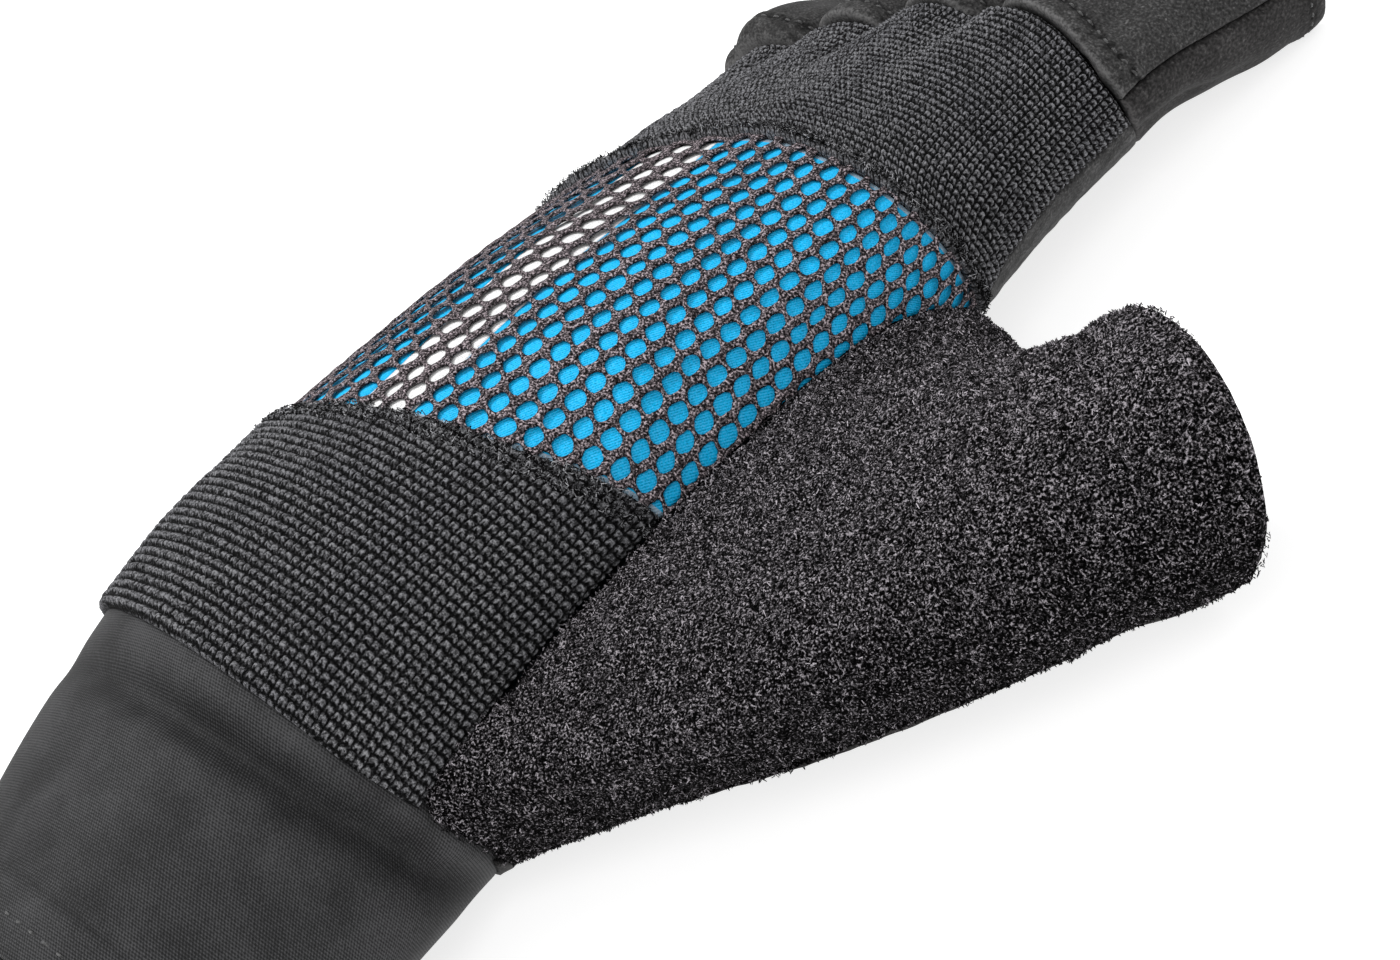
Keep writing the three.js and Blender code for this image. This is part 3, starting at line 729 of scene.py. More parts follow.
class Shader:
    """A material and the nodes that are added to it; patterns are sized in metres."""

    def __init__(self, name, base, roughness, sheen=0.0, sheen_roughness=0.5, specular=0.3):
        self.material = bpy.data.materials.new(name)
        self.material.use_nodes = True
        self.tree = self.material.node_tree
        self.surface = self.tree.nodes["Principled BSDF"]
        self.surface.inputs["Base Color"].default_value = (*base, 1)
        self.surface.inputs["Roughness"].default_value = roughness
        self.surface.inputs["Sheen Weight"].default_value = sheen
        self.surface.inputs["Sheen Roughness"].default_value = sheen_roughness
        self.surface.inputs["Specular IOR Level"].default_value = specular
        self.surface.inputs["IOR"].default_value = 1.5

    def add(self, kind, settings=None, **inputs):
        """New node with its settings and, by name, values or links for its inputs."""
        node = self.tree.nodes.new("ShaderNode" + kind)
        for name, value in (settings or {}).items():
            setattr(node, name, value)
        for name, value in inputs.items():
            self.plug(node.inputs[name.replace("_", " ")], value)
        return node

    def plug(self, socket, value):
        if isinstance(value, bpy.types.NodeSocket):
            self.tree.links.new(value, socket)
        else:
            socket.default_value = value

    def math(self, operation, first, second=0.0):
        node = self.add("Math", {"operation": operation})
        self.plug(node.inputs[0], first)
        self.plug(node.inputs[1], second)
        return node.outputs[0]

    def total(self, *parts):
        """Sum of values, each times its weight."""
        result = 0.0
        for value, weight in parts:
            node = self.add("Math", {"operation": "MULTIPLY_ADD"})
            self.plug(node.inputs[0], value)
            self.plug(node.inputs[1], weight)
            self.plug(node.inputs[2], result)
            result = node.outputs[0]
        return result

    def stretch(self, value, low, high):
        """Value scaled so that low becomes 0 and high becomes 1, and clamped."""
        node = self.add("MapRange", Value=value)
        node.inputs["From Min"].default_value = low
        node.inputs["From Max"].default_value = high
        return node.outputs["Result"]

    def place(self):
        return self.add("TexCoord").outputs["Object"]

    def rise(self, top):
        """Height above the floor, from 0 on it to 1 at top."""
        return self.stretch(self.add("SeparateXYZ", Vector=self.place()).outputs["Z"], 0.0, top)

    def curls(self, size, width, shift):
        """Thin curly lines, as loops of yarn make: 1 on a line, 0 between them."""
        moved = self.add("Mapping", Vector=self.place(), Location=(shift,) * 3)
        field = self.noise(size, 0.5, moved.outputs["Vector"])
        off = self.math("ABSOLUTE", self.math("SUBTRACT", field, 0.5))
        return self.stretch(off, width, 0)

    def off_whole(self, value):
        """Distance from the nearest whole number."""
        part = self.math("FRACT", self.math("ADD", value, 0.5))
        return self.math("ABSOLUTE", self.math("SUBTRACT", part, 0.5))

    def cut(self):
        return self.add("UVMap", {"uv_map": "cloth"}).outputs["UV"]

    def relief(self):
        return self.add("Attribute", {"attribute_name": "relief"}).outputs["Fac"]

    def noise(self, size, detail=2.0, at=None):
        return self.add("TexNoise", Vector=at or self.place(), Scale=1 / size,
                        Detail=detail).outputs["Fac"]

    def turned_cut(self, angle):
        turn = self.add("VectorRotate", {"rotation_type": "Z_AXIS"}, Vector=self.cut(), Angle=angle)
        return turn.outputs["Vector"]

    def threads(self, pitch, angle, waver):
        """Parallel threads of the weave, at an angle to the cut: the wave texture draws one
        for each pi / 10 of its own units."""
        wave = self.add("TexWave", {"wave_type": "BANDS", "bands_direction": "X"},
                        Vector=self.turned_cut(angle), Scale=math.pi / 10 / pitch,
                        Distortion=waver, Detail=1.0, Detail_Scale=1.0)
        return wave.outputs["Fac"]

    def ramp(self, factor, *stops):
        node = self.add("ValToRGB", Fac=factor)
        elements = node.color_ramp.elements
        while len(elements) < len(stops):
            elements.new(0.5)
        for element, (at, colour) in zip(elements, stops):
            element.position = at
            element.color = (*colour, 1)
        return node.outputs["Color"]

    def shades(self, factor, colour, *stops):
        """Ramp of one colour, each stop of it being its place and how bright the colour is."""
        return self.ramp(factor, *((at, tint(colour, amount)) for at, amount in stops))

    def blend(self, kind, amount, first, second):
        node = self.add("Mix", {"data_type": "RGBA", "blend_type": kind})
        self.plug(node.inputs["Factor"], amount)
        self.plug(node.inputs["A"], first)
        self.plug(node.inputs["B"], second)
        return node.outputs["Result"]

    def colour(self, value):
        self.plug(self.surface.inputs["Base Color"], value)

    def bump(self, height, depth, strength=1.0):
        normal = self.surface.inputs["Normal"]
        previous = normal.links[0].from_socket if normal.links else None
        node = self.add("Bump", Height=height, Distance=depth, Strength=strength)
        if previous is not None:
            self.tree.links.new(previous, node.inputs["Normal"])
        self.tree.links.new(node.outputs["Normal"], normal)


def tint(colour, amount):
    return tuple(channel * amount for channel in colour)


def towards(colour, grey, amount):
    return tuple(mix(channel, grey, amount) for channel in colour)


def elastic_material(colour, sizes):
    """Ribbed elastic, with the knots of its relief drawn finer than the mesh holds them; the tops of
    the knots get painted highlights, and the pits between them and the middle of each knot get
    painted shade.
    """
    wander = 0.55
    shader = Shader("elastic", colour, 0.8, specular=0.08)
    scaled = shader.add("Mapping", Vector=shader.cut(),
                        Scale=(1 / sizes.knot_pitch, 1 / sizes.rib_pitch, 1)).outputs["Vector"]
    drift = shader.add("TexNoise", Vector=scaled, Scale=0.9, Detail=1.5).outputs["Color"]
    shift = shader.add("VectorMath", {"operation": "MULTIPLY_ADD"})
    shader.plug(shift.inputs[0], drift)
    shader.plug(shift.inputs[1], (wander, wander, 0))
    shader.plug(shift.inputs[2], (-wander / 2, -wander / 2, 0))
    moved = shader.add("VectorMath", {"operation": "ADD"})
    shader.plug(moved.inputs[0], scaled)
    shader.plug(moved.inputs[1], shift.outputs["Vector"])
    parts = shader.add("SeparateXYZ", Vector=moved.outputs["Vector"])
    sideways = shader.off_whole(parts.outputs["X"])
    lean = shader.total((sideways, KNOT_LEAN), (parts.outputs["Y"], 1.0), (1.0, -KNOT_LEAN / 4))
    ridge = shader.off_whole(lean)
    knot = shader.math("MULTIPLY", shader.stretch(sideways, 0.50, 0.33),
                       shader.stretch(ridge, 0.49, 0.20))
    # the darker line down the middle of each knot is painted shade as well as a bump
    cleft = shader.math("MULTIPLY", shader.stretch(sideways, 0.15, 0.03), ridge)
    fibre = shader.noise(0.00030, 3)
    # the knots are painted many times paler than the pits: painted highlights on their tops, painted
    # shade in the pits
    level = shader.total((knot, 0.62), (shader.relief(), 0.12), (cleft, -1.1), (fibre, 1.9),
                         (1.0, -0.88))
    patch = shader.noise(0.009, 2)
    base = shader.shades(level, colour, (0.05, 0.08), (0.32, 0.5), (0.55, 1.9), (0.78, 5.2),
                         (1.0, 10.0))
    shade = shader.ramp(patch, (0.3, (0.84, 0.84, 0.86)), (0.7, (1.0, 1.0, 1.0)))
    shader.colour(shader.blend("MULTIPLY", 1.0, base, shade))
    shader.bump(level, 0.00022, 0.8)
    return shader.material


def lining_material(name, colour):
    """Satin twill with a painted highlight on its brightest threads; its relief rises towards the
    bands, where the paler seam tape shows.
    """
    shader = Shader(name, colour, 0.5, specular=0.12)
    line = shader.threads(SATIN_PITCH, math.radians(SATIN_TURN), 0.6)
    grain = shader.noise(0.00020, 2)
    weave = shader.total((line, 0.45), (grain, 1.7), (1.0, -0.58))
    # the brightest threads are mixed towards white as a painted highlight on the satin
    painted_glint = towards(colour, 1.0, 0.07)
    satin = shader.ramp(weave, (0.05, tint(colour, 0.55)), (0.5, colour), (0.95, painted_glint))
    tape = towards(colour, 0.42, 0.75)
    tape_starts = shader.stretch(shader.relief(), 0.62, 0.72)
    shader.colour(shader.blend("MIX", tape_starts, satin, (*tape, 1)))
    shader.bump(weave, 0.00008, 0.8)
    shader.bump(shader.noise(0.004, 2), 0.0003, 0.5)
    return shader.material


def net_material(colour):
    """Fluffy yarn, with painted shade that darkens its strands from their tops into the rims of the
    holes and underneath.
    """
    shader = Shader("net_yarn", colour, 0.85, specular=0.08)
    curl = shader.curls(0.00045, 0.10, 0)
    fleck = shader.noise(0.00027, 3)
    # the relief adds painted shade in the rims of the holes and under the strands
    level = shader.total((curl, 0.35), (fleck, 3.2), (shader.relief(), 0.15), (1.0, -1.47))
    shader.colour(shader.shades(level, colour, (0.0, 0.06), (0.32, 0.60), (0.58, 1.9),
                                (0.85, 6.5)))
    shader.bump(level, 0.00016, 0.9)
    return shader.material


def terry_material(name, colour):
    """Towelling under its loops, curly and flecked, with flecks that are partly painted sheen, and
    painted shade that darkens it towards the floor so that it is palest near the top of the thumb.
    """
    shader = Shader(name, colour, 0.8, specular=0.03)
    curl = shader.math("MAXIMUM", shader.curls(0.00065, 0.09, 0), shader.curls(0.00055, 0.08, 3))
    # the bright flecks are partly painted sheen on the yarn
    fleck = shader.noise(0.00030, 3)
    patch = shader.noise(0.0030, 2)
    # rise adds painted shade that darkens the towelling towards the floor
    level = shader.total((curl, 0.42), (fleck, 3.8), (patch, 0.35), (shader.rise(PAINTED_SHADE_TOP), 0.34),
                         (1.0, -2.13))
    shader.colour(shader.shades(level, colour, (0.05, 0.02), (0.30, 0.3), (0.52, 2.6),
                                (0.75, 12.0), (1.0, 38.0)))
    shader.bump(level, 0.00035, 1.0)
    return shader.material


def loop_material(name, colour):
    """Twisted yarn of the loops, whose relief says how bright each one is, partly as painted sheen,
    with painted shade that darkens them towards the floor.
    """
    shader = Shader(name, colour, 0.7, specular=0.04)
    twist = shader.noise(0.00025, 2)
    # rise adds painted shade that darkens the loops towards the floor
    level = shader.total((shader.relief(), 1.0), (twist, 1.4), (shader.rise(PAINTED_SHADE_TOP), 0.34),
                         (1.0, -0.95))
    shader.colour(shader.shades(level, colour, (0.05, 0.03), (0.35, 0.4), (0.55, 3.5),
                                (0.80, 17.0), (1.0, 40.0)))
    shader.bump(twist, 0.00006, 0.8)
    return shader.material


def cuff_material(colour):
    """Smooth fine twill, whose relief darkens its sewn seam and holds painted shade along its crease
    and painted highlights on a rim beside the band and on a ridge below it.
    """
    shader = Shader("cuff_weave", colour, 0.6, sheen=0.03, sheen_roughness=0.35, specular=0.12)
    twill = shader.threads(TWILL_PITCH, math.radians(TWILL_TURN), 0.3)
    weft = shader.threads(TWILL_PITCH, math.radians(WEFT_TURN), 0.2)
    grain = shader.noise(0.00025, 2)
    patch = shader.noise(0.007, 4)
    weave = shader.total((twill, 0.50), (weft, 0.42), (grain, 1.0), (patch, 0.9),
                         (shader.relief(), 0.60), (1.0, -1.21))
    shader.colour(shader.shades(weave, colour, (0.1, 0.40), (0.5, 1.0), (0.95, 2.4)))
    shader.bump(shader.total((twill, 0.6), (weft, 0.4)), 0.00007, 0.8)
    shader.bump(shader.noise(0.0006, 2), 0.00005, 0.5)
    return shader.material


def brushed_material(name, colour, grain, sheen):
    """Short-napped cloth; its relief runs from 0 in stitch holes, as painted shade, to 1 on folded
    edges, as a painted highlight.
    """
    shader = Shader(name, colour, 0.7, sheen=sheen, sheen_roughness=0.4, specular=0.10)
    fine = shader.noise(grain, 3)
    speck = shader.stretch(shader.noise(grain * 1.6, 1), 0.66, 0.78)
    patch = shader.noise(0.006, 3)
    level = shader.total((shader.relief(), 0.80), (fine, 1.35), (patch, 0.30), (speck, 0.40),
                         (1.0, -0.73))
    shader.colour(shader.shades(level, colour, (0.05, 0.15), (0.32, 0.6), (0.55, 1.15),
                                (1.0, 3.6)))
    shader.bump(fine, 0.00008, 0.8)
    return shader.material


def thread_material(colour):
    shader = Shader("thread", colour, 0.5, sheen=0.2)
    twist = shader.noise(0.0003, 2)
    shader.colour(shader.shades(twist, colour, (0.35, 0.35), (0.7, 1.8)))
    shader.bump(twist, 0.00008, 0.8)
    return shader.material


def dress(piece, material, slot, *nodes):
    """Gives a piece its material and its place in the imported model."""
    piece.data.materials.append(material)
    if nodes:
        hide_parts(*nodes)
    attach(piece, "root")
    return piece


def declare_sheet(piece):
    """Takes the size that a panel was measured to be cut to off the piece."""
    del piece["cut"]


def off_whole(value):
    """Distance from the nearest whole number."""
    return np.abs(value - np.round(value))


def knots(rib, knot, seed):
    """Relief of the ribbed elastic, from 0 in its pits to 1 on its knots."""
    chance = np.random.default_rng(seed).uniform(-1, 1, (64, 160))
    own = chance[np.round(rib).astype(int) % 64, np.round(knot).astype(int) % 160]
    sideways = off_whole(knot + 0.06 * own)
    ridge = off_whole(rib + KNOT_LEAN * (sideways - 0.25) + 0.05 * own)
    across = np.clip((0.52 - sideways) / 0.30, 0, 1)
    along = np.clip((0.52 - ridge) / 0.36, 0, 1)
    return ease(across) * ease(along) * (1 + 0.14 * own)


class GLOVE_OT_cuff(bpy.types.Operator):
    """Builds the cuff with its folds and hem."""

    bl_idname = "glove.cuff"
    bl_label = "Cuff"

    rows = 72
    cols = 200
    fold_height = 0.0008
    dent_height = 0.0005
    dent_size = 0.030
    tuck_depth = 0.0009

    # turned-up hem, its sewn seam and its stitches, measured from the cuff's end
    turn_up_height = 0.0005
    turn_up_width = 0.009
    turn_up_step = 0.0006
    seam_line = 0.0082
    seam_width = 0.0006
    seam_depth = 0.0002
    stitch_row = 7
    stitch_stretch = 1.3

    # crease, with painted shade along it, and painted highlights on a rim beside the band and on a
    # ridge below it, measured down from the band; drift is metres for each degree of turn
    drift = 0.00003
    crease_line = 0.0044
    crease_width = 0.0024
    crease_depth = 0.0026
    shade_line = 0.0052
    shade_width = 0.0026
    lit_rim_line = 0.0012
    lit_rim_width = 0.0020
    lit_ridge_line = 0.0130
    lit_ridge_width = 0.0040

    def execute(self, context):
        colours = context.scene.glove_colours
        points, height, relief = self.surface()
        piece = cloth("cuff_cloth", points, CUFF_THICK + CUFF_SINK, height, relief, ring=True,
                      inner_height=height * 0.6, inner_step=4)
        dress(piece, cuff_material(colours.cuff), "cuff_fabric", "cuff")
        declare_sheet(piece)
        normal = grid_normals(points, True)
        line = (points + normal * height[..., None])[self.stitch_row]
        sewn = stitches("cuff_stitches", line, normal[self.stitch_row],
                        context.scene.glove_sizes.stitch_pitch * self.stitch_stretch)
        dress(sewn, thread_material(colours.thread), "cuff_fabric")
        return {"FINISHED"}

    def surface(self):
        """Points of the cuff, how far each is raised, and its relief."""
        u, v = unit_grid(self.rows, self.cols)
        turn = mix(-90, 270, v)
        points = hand_point(mix(CUFF_END_Y, cuff_edge(turn) + CUFF_TUCK, u), turn)
        middle = 1 - u
        fold = self.fold_height * np.sin(6 * np.pi * v + 4 * u) * middle * np.sin(np.pi * u)
        dents = self.dent_height * ripple(points, self.dent_size, SEED)
        dents = dents * np.sin(np.pi * np.clip(u * 1.1, 0, 1))
        along = travelled(points, 0)
        turn_up = self.turn_up_height * (
            1 - ease((along - self.turn_up_width) / self.turn_up_step))
        seam = np.exp(-((along - self.seam_line) / self.seam_width) ** 2)
        tuck = self.tuck_depth * ease((u - 0.90) / 0.06)
        below = cuff_edge(turn) - points[..., 1]
        crease = (below - self.crease_line - self.drift * turn) / self.crease_width
        slack = -self.crease_depth * np.exp(-crease ** 2)
        slack = slack * ease((turn + 50) / 40) * ease((130 - turn) / 60)
        height = -CUFF_SINK + fold + dents + turn_up + slack - self.seam_depth * seam - tuck
        # painted shade along the crease, and painted highlights on the rim beside the band and on a
        # ridge further down (raised); they change only the relief, and so the colour, not the height
        shaded = np.exp(-((below - self.shade_line - self.drift * turn) / self.shade_width) ** 2)
        rim = np.exp(-((below - self.lit_rim_line) / self.lit_rim_width) ** 2)
        ridge = np.exp(-((below - self.lit_ridge_line) / self.lit_ridge_width) ** 2)
        raised = rim + 0.5 * ridge
        return points, height, PLAIN_RELIEF - 0.3 * seam + 0.22 * raised - 0.30 * shaded


class GLOVE_OT_bands(bpy.types.Operator):
    """Builds the two ribbed elastic bands."""

    bl_idname = "glove.bands"
    bl_label = "Elastic bands"

    wrist_grid = (140, 360)
    knuckle_grid = (110, 350)
    rib_sway = 0.25
    proud = 0.0003
    pit_share = 0.6
    edge_radius = 0.0008
    soft_height = 0.00015
    soft_size = 0.012

    # by the row of a band that meets the net: how far it rolls up, and how fine the knots are
    roll = {0: 0.0008, -1: 0.0001}
    fineness = {0: 0.88, -1: 1.0}
    roll_width = 0.0013

    # frayed yarn along that row
    frayed_width = 0.0025
    frayed_share = 0.7
    frayed_size = 0.0009
    fuzz_width = 0.0007
    fuzz_radius = 0.00006

    def execute(self, context):
        sizes = context.scene.glove_sizes
        colour = context.scene.glove_colours.elastic
        material = elastic_material(colour, sizes)
        fuzz = loop_material("elastic_fuzz", tint(colour, 0.4))
        points, y, turn = hand_grid(cuff_edge, net_low, thumb_back_turn, little_seam,
                                    *self.wrist_grid)
        rib = y / sizes.rib_pitch + self.rib_sway * np.sin(turn / 40)
        surface, normal = self.band("wrist_elastic", points, rib, "wrist_band", material, sizes, -1)
        edge = loop_pile("wrist_fuzz", surface[-12:], normal[-12:], 2200, self.fuzz_width, 0.00030,
                         self.fuzz_radius, SEED + 3)
        dress(edge, fuzz, "elastic")
        points, _, _ = hand_grid(net_high, hem, band_side, little_seam, *self.knuckle_grid)
        along = travelled(points, 0)
        count = round(float(along[-1].mean()) / (sizes.rib_pitch * self.fineness[0]))
        rib = count * along / along[-1:]
        surface, normal = self.band("knuckle_elastic", points, rib, "knuckle_band", material, sizes,
                                    0)
        edge = loop_pile("knuckle_fuzz", surface[:8], normal[:8], 1800, self.fuzz_width, 0.00040,
                         self.fuzz_radius, SEED + 4)
        dress(edge, fuzz, "elastic")
        return {"FINISHED"}

    def band(self, name, points, rib, node, material, sizes, net_side):
        """One band; its points and normals are handed back for the frayed yarn."""
        across = travelled(points, 1)
        along = travelled(points, 0)
        knot = across / (sizes.knot_pitch * self.fineness[net_side])
        soft = self.soft_height * ripple(points, self.soft_size, SEED + net_side)
        off = np.abs(along[net_side:][:1] - along)
        proud = self.roll[net_side] * np.exp(-(off / self.roll_width) ** 2) + self.proud
        frayed = ease(1 - off / self.frayed_width) * self.frayed_share
        tangle = np.clip(0.5 + 0.5 * ripple(points, self.frayed_size, SEED + 6), 0, 1)
        relief = mix(knots(rib, knot, SEED + net_side), tangle, frayed)
        height = sizes.knot_height * (relief - self.pit_share) + soft + proud
        cut = np.stack([knot * sizes.knot_pitch, rib * sizes.rib_pitch], -1)
        piece = cloth(name, points, BAND_THICK, height, relief, inner_step=5,
                      edge=self.edge_radius, cut=cut)
        dress(piece, material, "elastic", node)
        declare_sheet(piece)
        normal = grid_normals(points)
        return points + normal * height[..., None], normal


class GLOVE_OT_lining(bpy.types.Operator):
    """Builds the satin lining and its stripe."""

    bl_idname = "glove.lining"
    bl_label = "Lining"

    rows = 80
    soft_height = 0.00010
    soft_size = 0.008
    edge_radius = 0.00005
    # distance from a band at which the seam tape's relief ends, in steps of a millimetre
    tape_step = 0.001
    tape_steps = 1.3

    def execute(self, context):
        colours = context.scene.glove_colours
        azure = lining_material("lining_azure", colours.azure)
        white = lining_material("lining_stripe_white", colours.stripe)
        parts = [
            ("lining_main", thumb_back_turn, stripe_start, 50, azure, "lining_blue", "back_lining"),
            ("lining_white_stripe", stripe_start, stripe_end, 20, white, "lining_white",
             "lining_stripe"),
            ("lining_outer", stripe_end, little_seam, 50, azure, "lining_blue", "lining_edge"),
        ]
        for name, start, end, cols, material, slot, node in parts:
            points, _, _ = hand_grid(net_low, net_high, start, end, self.rows, cols, margin=0)
            soft = self.soft_height * ripple(points, self.soft_size, SEED + 5)
            along = travelled(points, 0)
            to_band = np.minimum(along, along[-1:] - along) / self.tape_step
            tape = np.maximum(self.tape_steps - to_band, 0)
            piece = cloth(name, points, LINING_THICK, -LINING_SINK + soft, tape,
                          edge=self.edge_radius, inner_step=5)
            dress(piece, material, slot, node)
            declare_sheet(piece)
        return {"FINISHED"}


class GLOVE_OT_net(bpy.types.Operator):
    """Knits the open net over the lining."""

    bl_idname = "glove.net"
    bl_label = "Net"

    hole_points = 24
    strand_rings = 4
    # half sizes of a hole in metres, the directions of its sides as (turn, y), its squareness
    hole_half = (0.00126, 0.00122)
    hole_sides = np.array([[-0.287, 0.958], [-0.893, -0.450]])
    hole_squareness = 2.9
    least_strand = 0.84

    # where the rows start, and how rows lean, in metres along the hand for a degree of turn
    first_turn = 8
    skew = 0.000094
    metres_per_degree = 0.00053
    columns = range(-12, 30)
    rows = range(-4, 36)
    # share of a pitch by which the middle of a cell may lie past an edge of the net
    past_edge = 0.8

    # sway of the rows and unevenness of the yarn: amounts in degrees and metres, and sizes
    sway_turn = 0.35
    sway_turn_size = 0.008
    sway_y = 0.00012
    sway_y_size = 0.009
    sway_metres_per_degree = 0.002
    fluff_turn = 0.10
    fluff_y = 0.00005
    fluff_size = 0.0007
    lump_height = 0.00006
    lump_size = 0.0016

    # round figures for the whole panel, with its holes, and not measured on its surface
    panel_size = (0.105, 0.050)
    panel_area = 0.0050

    def execute(self, context):
        sizes = context.scene.glove_sizes
        phi = np.linspace(0, np.pi, self.strand_rings + 1)
        turn, y = self.places(sizes, np.sin(phi))
        base = hand_point(y, turn)
        normal = hand_normal(y, turn)
        depth = np.cos(phi) * NET_THICK / 2
        level = depth[None, :, None] - NET_THICK / 2
        level = level + self.lump_height * ripple(base, self.lump_size, SEED + 13)
        points = base + normal * level[..., None]
        count, rings, around = points.shape[:3]
        at = np.arange(count * rings * around).reshape(count, rings, around)
        turned = np.roll(at, -1, axis=2)
        quads = np.stack([at[:, :-1], turned[:, :-1], turned[:, 1:], at[:, 1:]], -1).reshape(-1, 4)
        points = points.reshape(-1, 3)
        a, b, c, d = (points[quads[:, k]] for k in range(4))
        area = np.linalg.norm(np.cross(c - a, d - b), axis=1)
        quads = quads[area > 1e-10]
        # relief runs from 1 on the tops of the strands to 0 underneath; the yarn's colour uses it as
        # painted shade
        relief = np.broadcast_to((0.5 + 0.5 * np.cos(phi))[None, :, None], at.shape).ravel()
        piece = finish_mesh("knitted_net", points, quads.tolist(), None, relief, weld=2e-6)
        dress(piece, net_material(context.scene.glove_colours.yarn), "net_yarn", "back_net")
        return {"FINISHED"}

    def cell(self, pitch, width, inward):
        """One cell laid flat: rings of points that go in from its six sides to its hole and,
        underneath, out again."""
        lean = pitch ** 2 / (8 * width)
        far = np.array([width / 2 + lean, 0])
        near = np.array([width / 2 - lean, pitch / 2])
        outline = np.array([far, near, near * [-1, 1], -far, -near, near * [1, -1], far])
        share = np.linspace(0, 6, self.hole_points, endpoint=False)
        side = share.astype(int)
        edge = outline[side] + (outline[side + 1] - outline[side]) * (share - side)[:, None]
        angle = np.arctan2(edge[:, 1], edge[:, 0])
        way = np.stack([np.cos(angle), np.sin(angle)], -1)
        part = np.abs(way @ np.linalg.inv(self.hole_sides)) / self.hole_half
        reach = (part ** self.hole_squareness).sum(-1) ** (-1 / self.hole_squareness)
        reach = np.minimum(reach, self.least_strand * np.linalg.norm(edge, axis=-1))
        hole = way * reach[:, None]
        inward = inward[:, None, None]
        return edge[None] * (1 - inward) + hole[None] * inward

    def centres(self, sizes):
        """Middles, as (turn, y), of the cells that reach the open part of the back."""
        found = []
        for i in self.columns:
            for j in self.rows:
                turn = self.first_turn + i * sizes.net_turn
                y = (j + 0.5 * (i % 2)) * sizes.net_pitch + self.skew * turn
                seam_turn = np.clip(turn, float(thumb_back_turn(y)), LITTLE_SEAM_TURN)
                reach = sizes.net_pitch * self.past_edge
                if not net_low(turn) - reach < y < net_high(turn) + reach:
                    continue
                if abs(seam_turn - turn) > sizes.net_turn * self.past_edge:
                    continue
                found.append((turn, y))
        return np.array(found)

    def places(self, sizes, inward):
        """Turn and y of every point of the net, kept inside its seams."""
        width = sizes.net_turn * self.metres_per_degree
        flat = self.cell(sizes.net_pitch, width, inward)
        centre = self.centres(sizes)
        swing = flat[None, ..., 0] * sizes.net_turn / width
        turn = centre[:, 0, None, None] + swing
        y = centre[:, 1, None, None] + flat[None, ..., 1] + self.skew * swing
        sway = np.stack([turn * self.sway_metres_per_degree, y, np.zeros_like(y)], -1)
        turn = turn + self.sway_turn * ripple(sway, self.sway_turn_size, SEED + 11)
        y = y + self.sway_y * ripple(sway, self.sway_y_size, SEED + 12)
        inward = inward[None, :, None]
        fluff = np.stack([turn * self.metres_per_degree, y, np.zeros_like(y)], -1)
        turn = turn + inward * self.fluff_turn * ripple(fluff, self.fluff_size, SEED + 14)
        y = y + inward * self.fluff_y * ripple(fluff, self.fluff_size, SEED + 15)
        for _ in range(3):
            y = np.clip(y, net_low(turn) - NET_TUCK, net_high(turn) + NET_TUCK)
            turn = np.clip(turn, thumb_back_turn(y) - 0.3, LITTLE_SEAM_TURN - 0.2)
        return turn, y


class GLOVE_OT_thumb(bpy.types.Operator):
    """Builds the towelling thumb, its loops and its underside."""

    bl_idname = "glove.thumb"
    bl_label = "Thumb"

    ground_grid = (130, 240)
    ground_edge_radius = 0.0007
    relax_rounds = 260
    nub_height = 0.00018
    nub_size = 0.0011
    lump_height = 0.00022
    lump_size = 0.010

    loop_pieces = 3
    loop_height = 0.00028
    loop_radius = 0.000056

    underside_grid = (80, 90)
    soft_height = 0.00006
    soft_size = 0.002

    def execute(self, context):
        self.towelling(context.scene.glove_colours, context.scene.glove_sizes)
        self.underside(context.scene.glove_colours)
        return {"FINISHED"}

    def towelling(self, colours, sizes):
        """The ground of the towelling, with its corner at the wrist evened out, and its loops."""
        points, u, v = thumb_grid(WRAP_ROW, WEB_ROW, *self.ground_grid)
        row = mix(WRAP_ROW, WEB_ROW, v)
        corner = ease((row + 0.4) / 0.8) * ease((3.6 - row) / 0.8)
        points = relax(points, corner * ease(u / 0.05) * ease((1 - u) / 0.05), self.relax_rounds)
        nub = ripple(points, self.nub_size, SEED + 21, 60)
        lump = ripple(points, self.lump_size, SEED + 22)
        height = self.hem_lift(u) + self.nub_height * nub + self.lump_height * lump
        relief = np.clip(0.45 + 0.35 * nub, 0, 1)
        ground = cloth("thumb_ground", points, TERRY_THICK, height, relief, inner_step=4,
                       edge=self.ground_edge_radius)
        dress(ground, terry_material("towelling_ground", colours.towelling), "terry", "thumb_terry")
        declare_sheet(ground)
        normal = grid_normals(points)
        surface = points + normal * height[..., None]
        yarn = loop_material("towelling_loops", colours.towelling)
        for index in range(self.loop_pieces):
            loops = loop_pile(f"thumb_loops_{index + 1}", surface, normal,
                              sizes.loop_count // self.loop_pieces, sizes.loop_width,
                              self.loop_height, self.loop_radius, SEED + 30 + index)
            dress(loops, yarn, "terry")

    def underside(self, colours):
        points, u, _ = thumb_grid(WEB_ROW, len(THUMB_SEAM) + WRAP_ROW, *self.underside_grid)
        height = self.hem_lift(u) + self.soft_height * ripple(points, self.soft_size, SEED + 24)
        relief = np.clip(PLAIN_RELIEF + 0.2 * ripple(points, 0.001, SEED + 25), 0, 1)
        front = cloth("thumb_underside", points, SUEDE_THICK, height, relief, inner_step=2)
        dress(front, brushed_material("palm_suede", colours.palm, SUEDE_GRAIN, SUEDE_SHEEN),
              "suede", "thumb_front")
        declare_sheet(front)

    def hem_lift(self, u):
        return THUMB_HEM_PROUD * ease((u - 0.86) / 0.08)


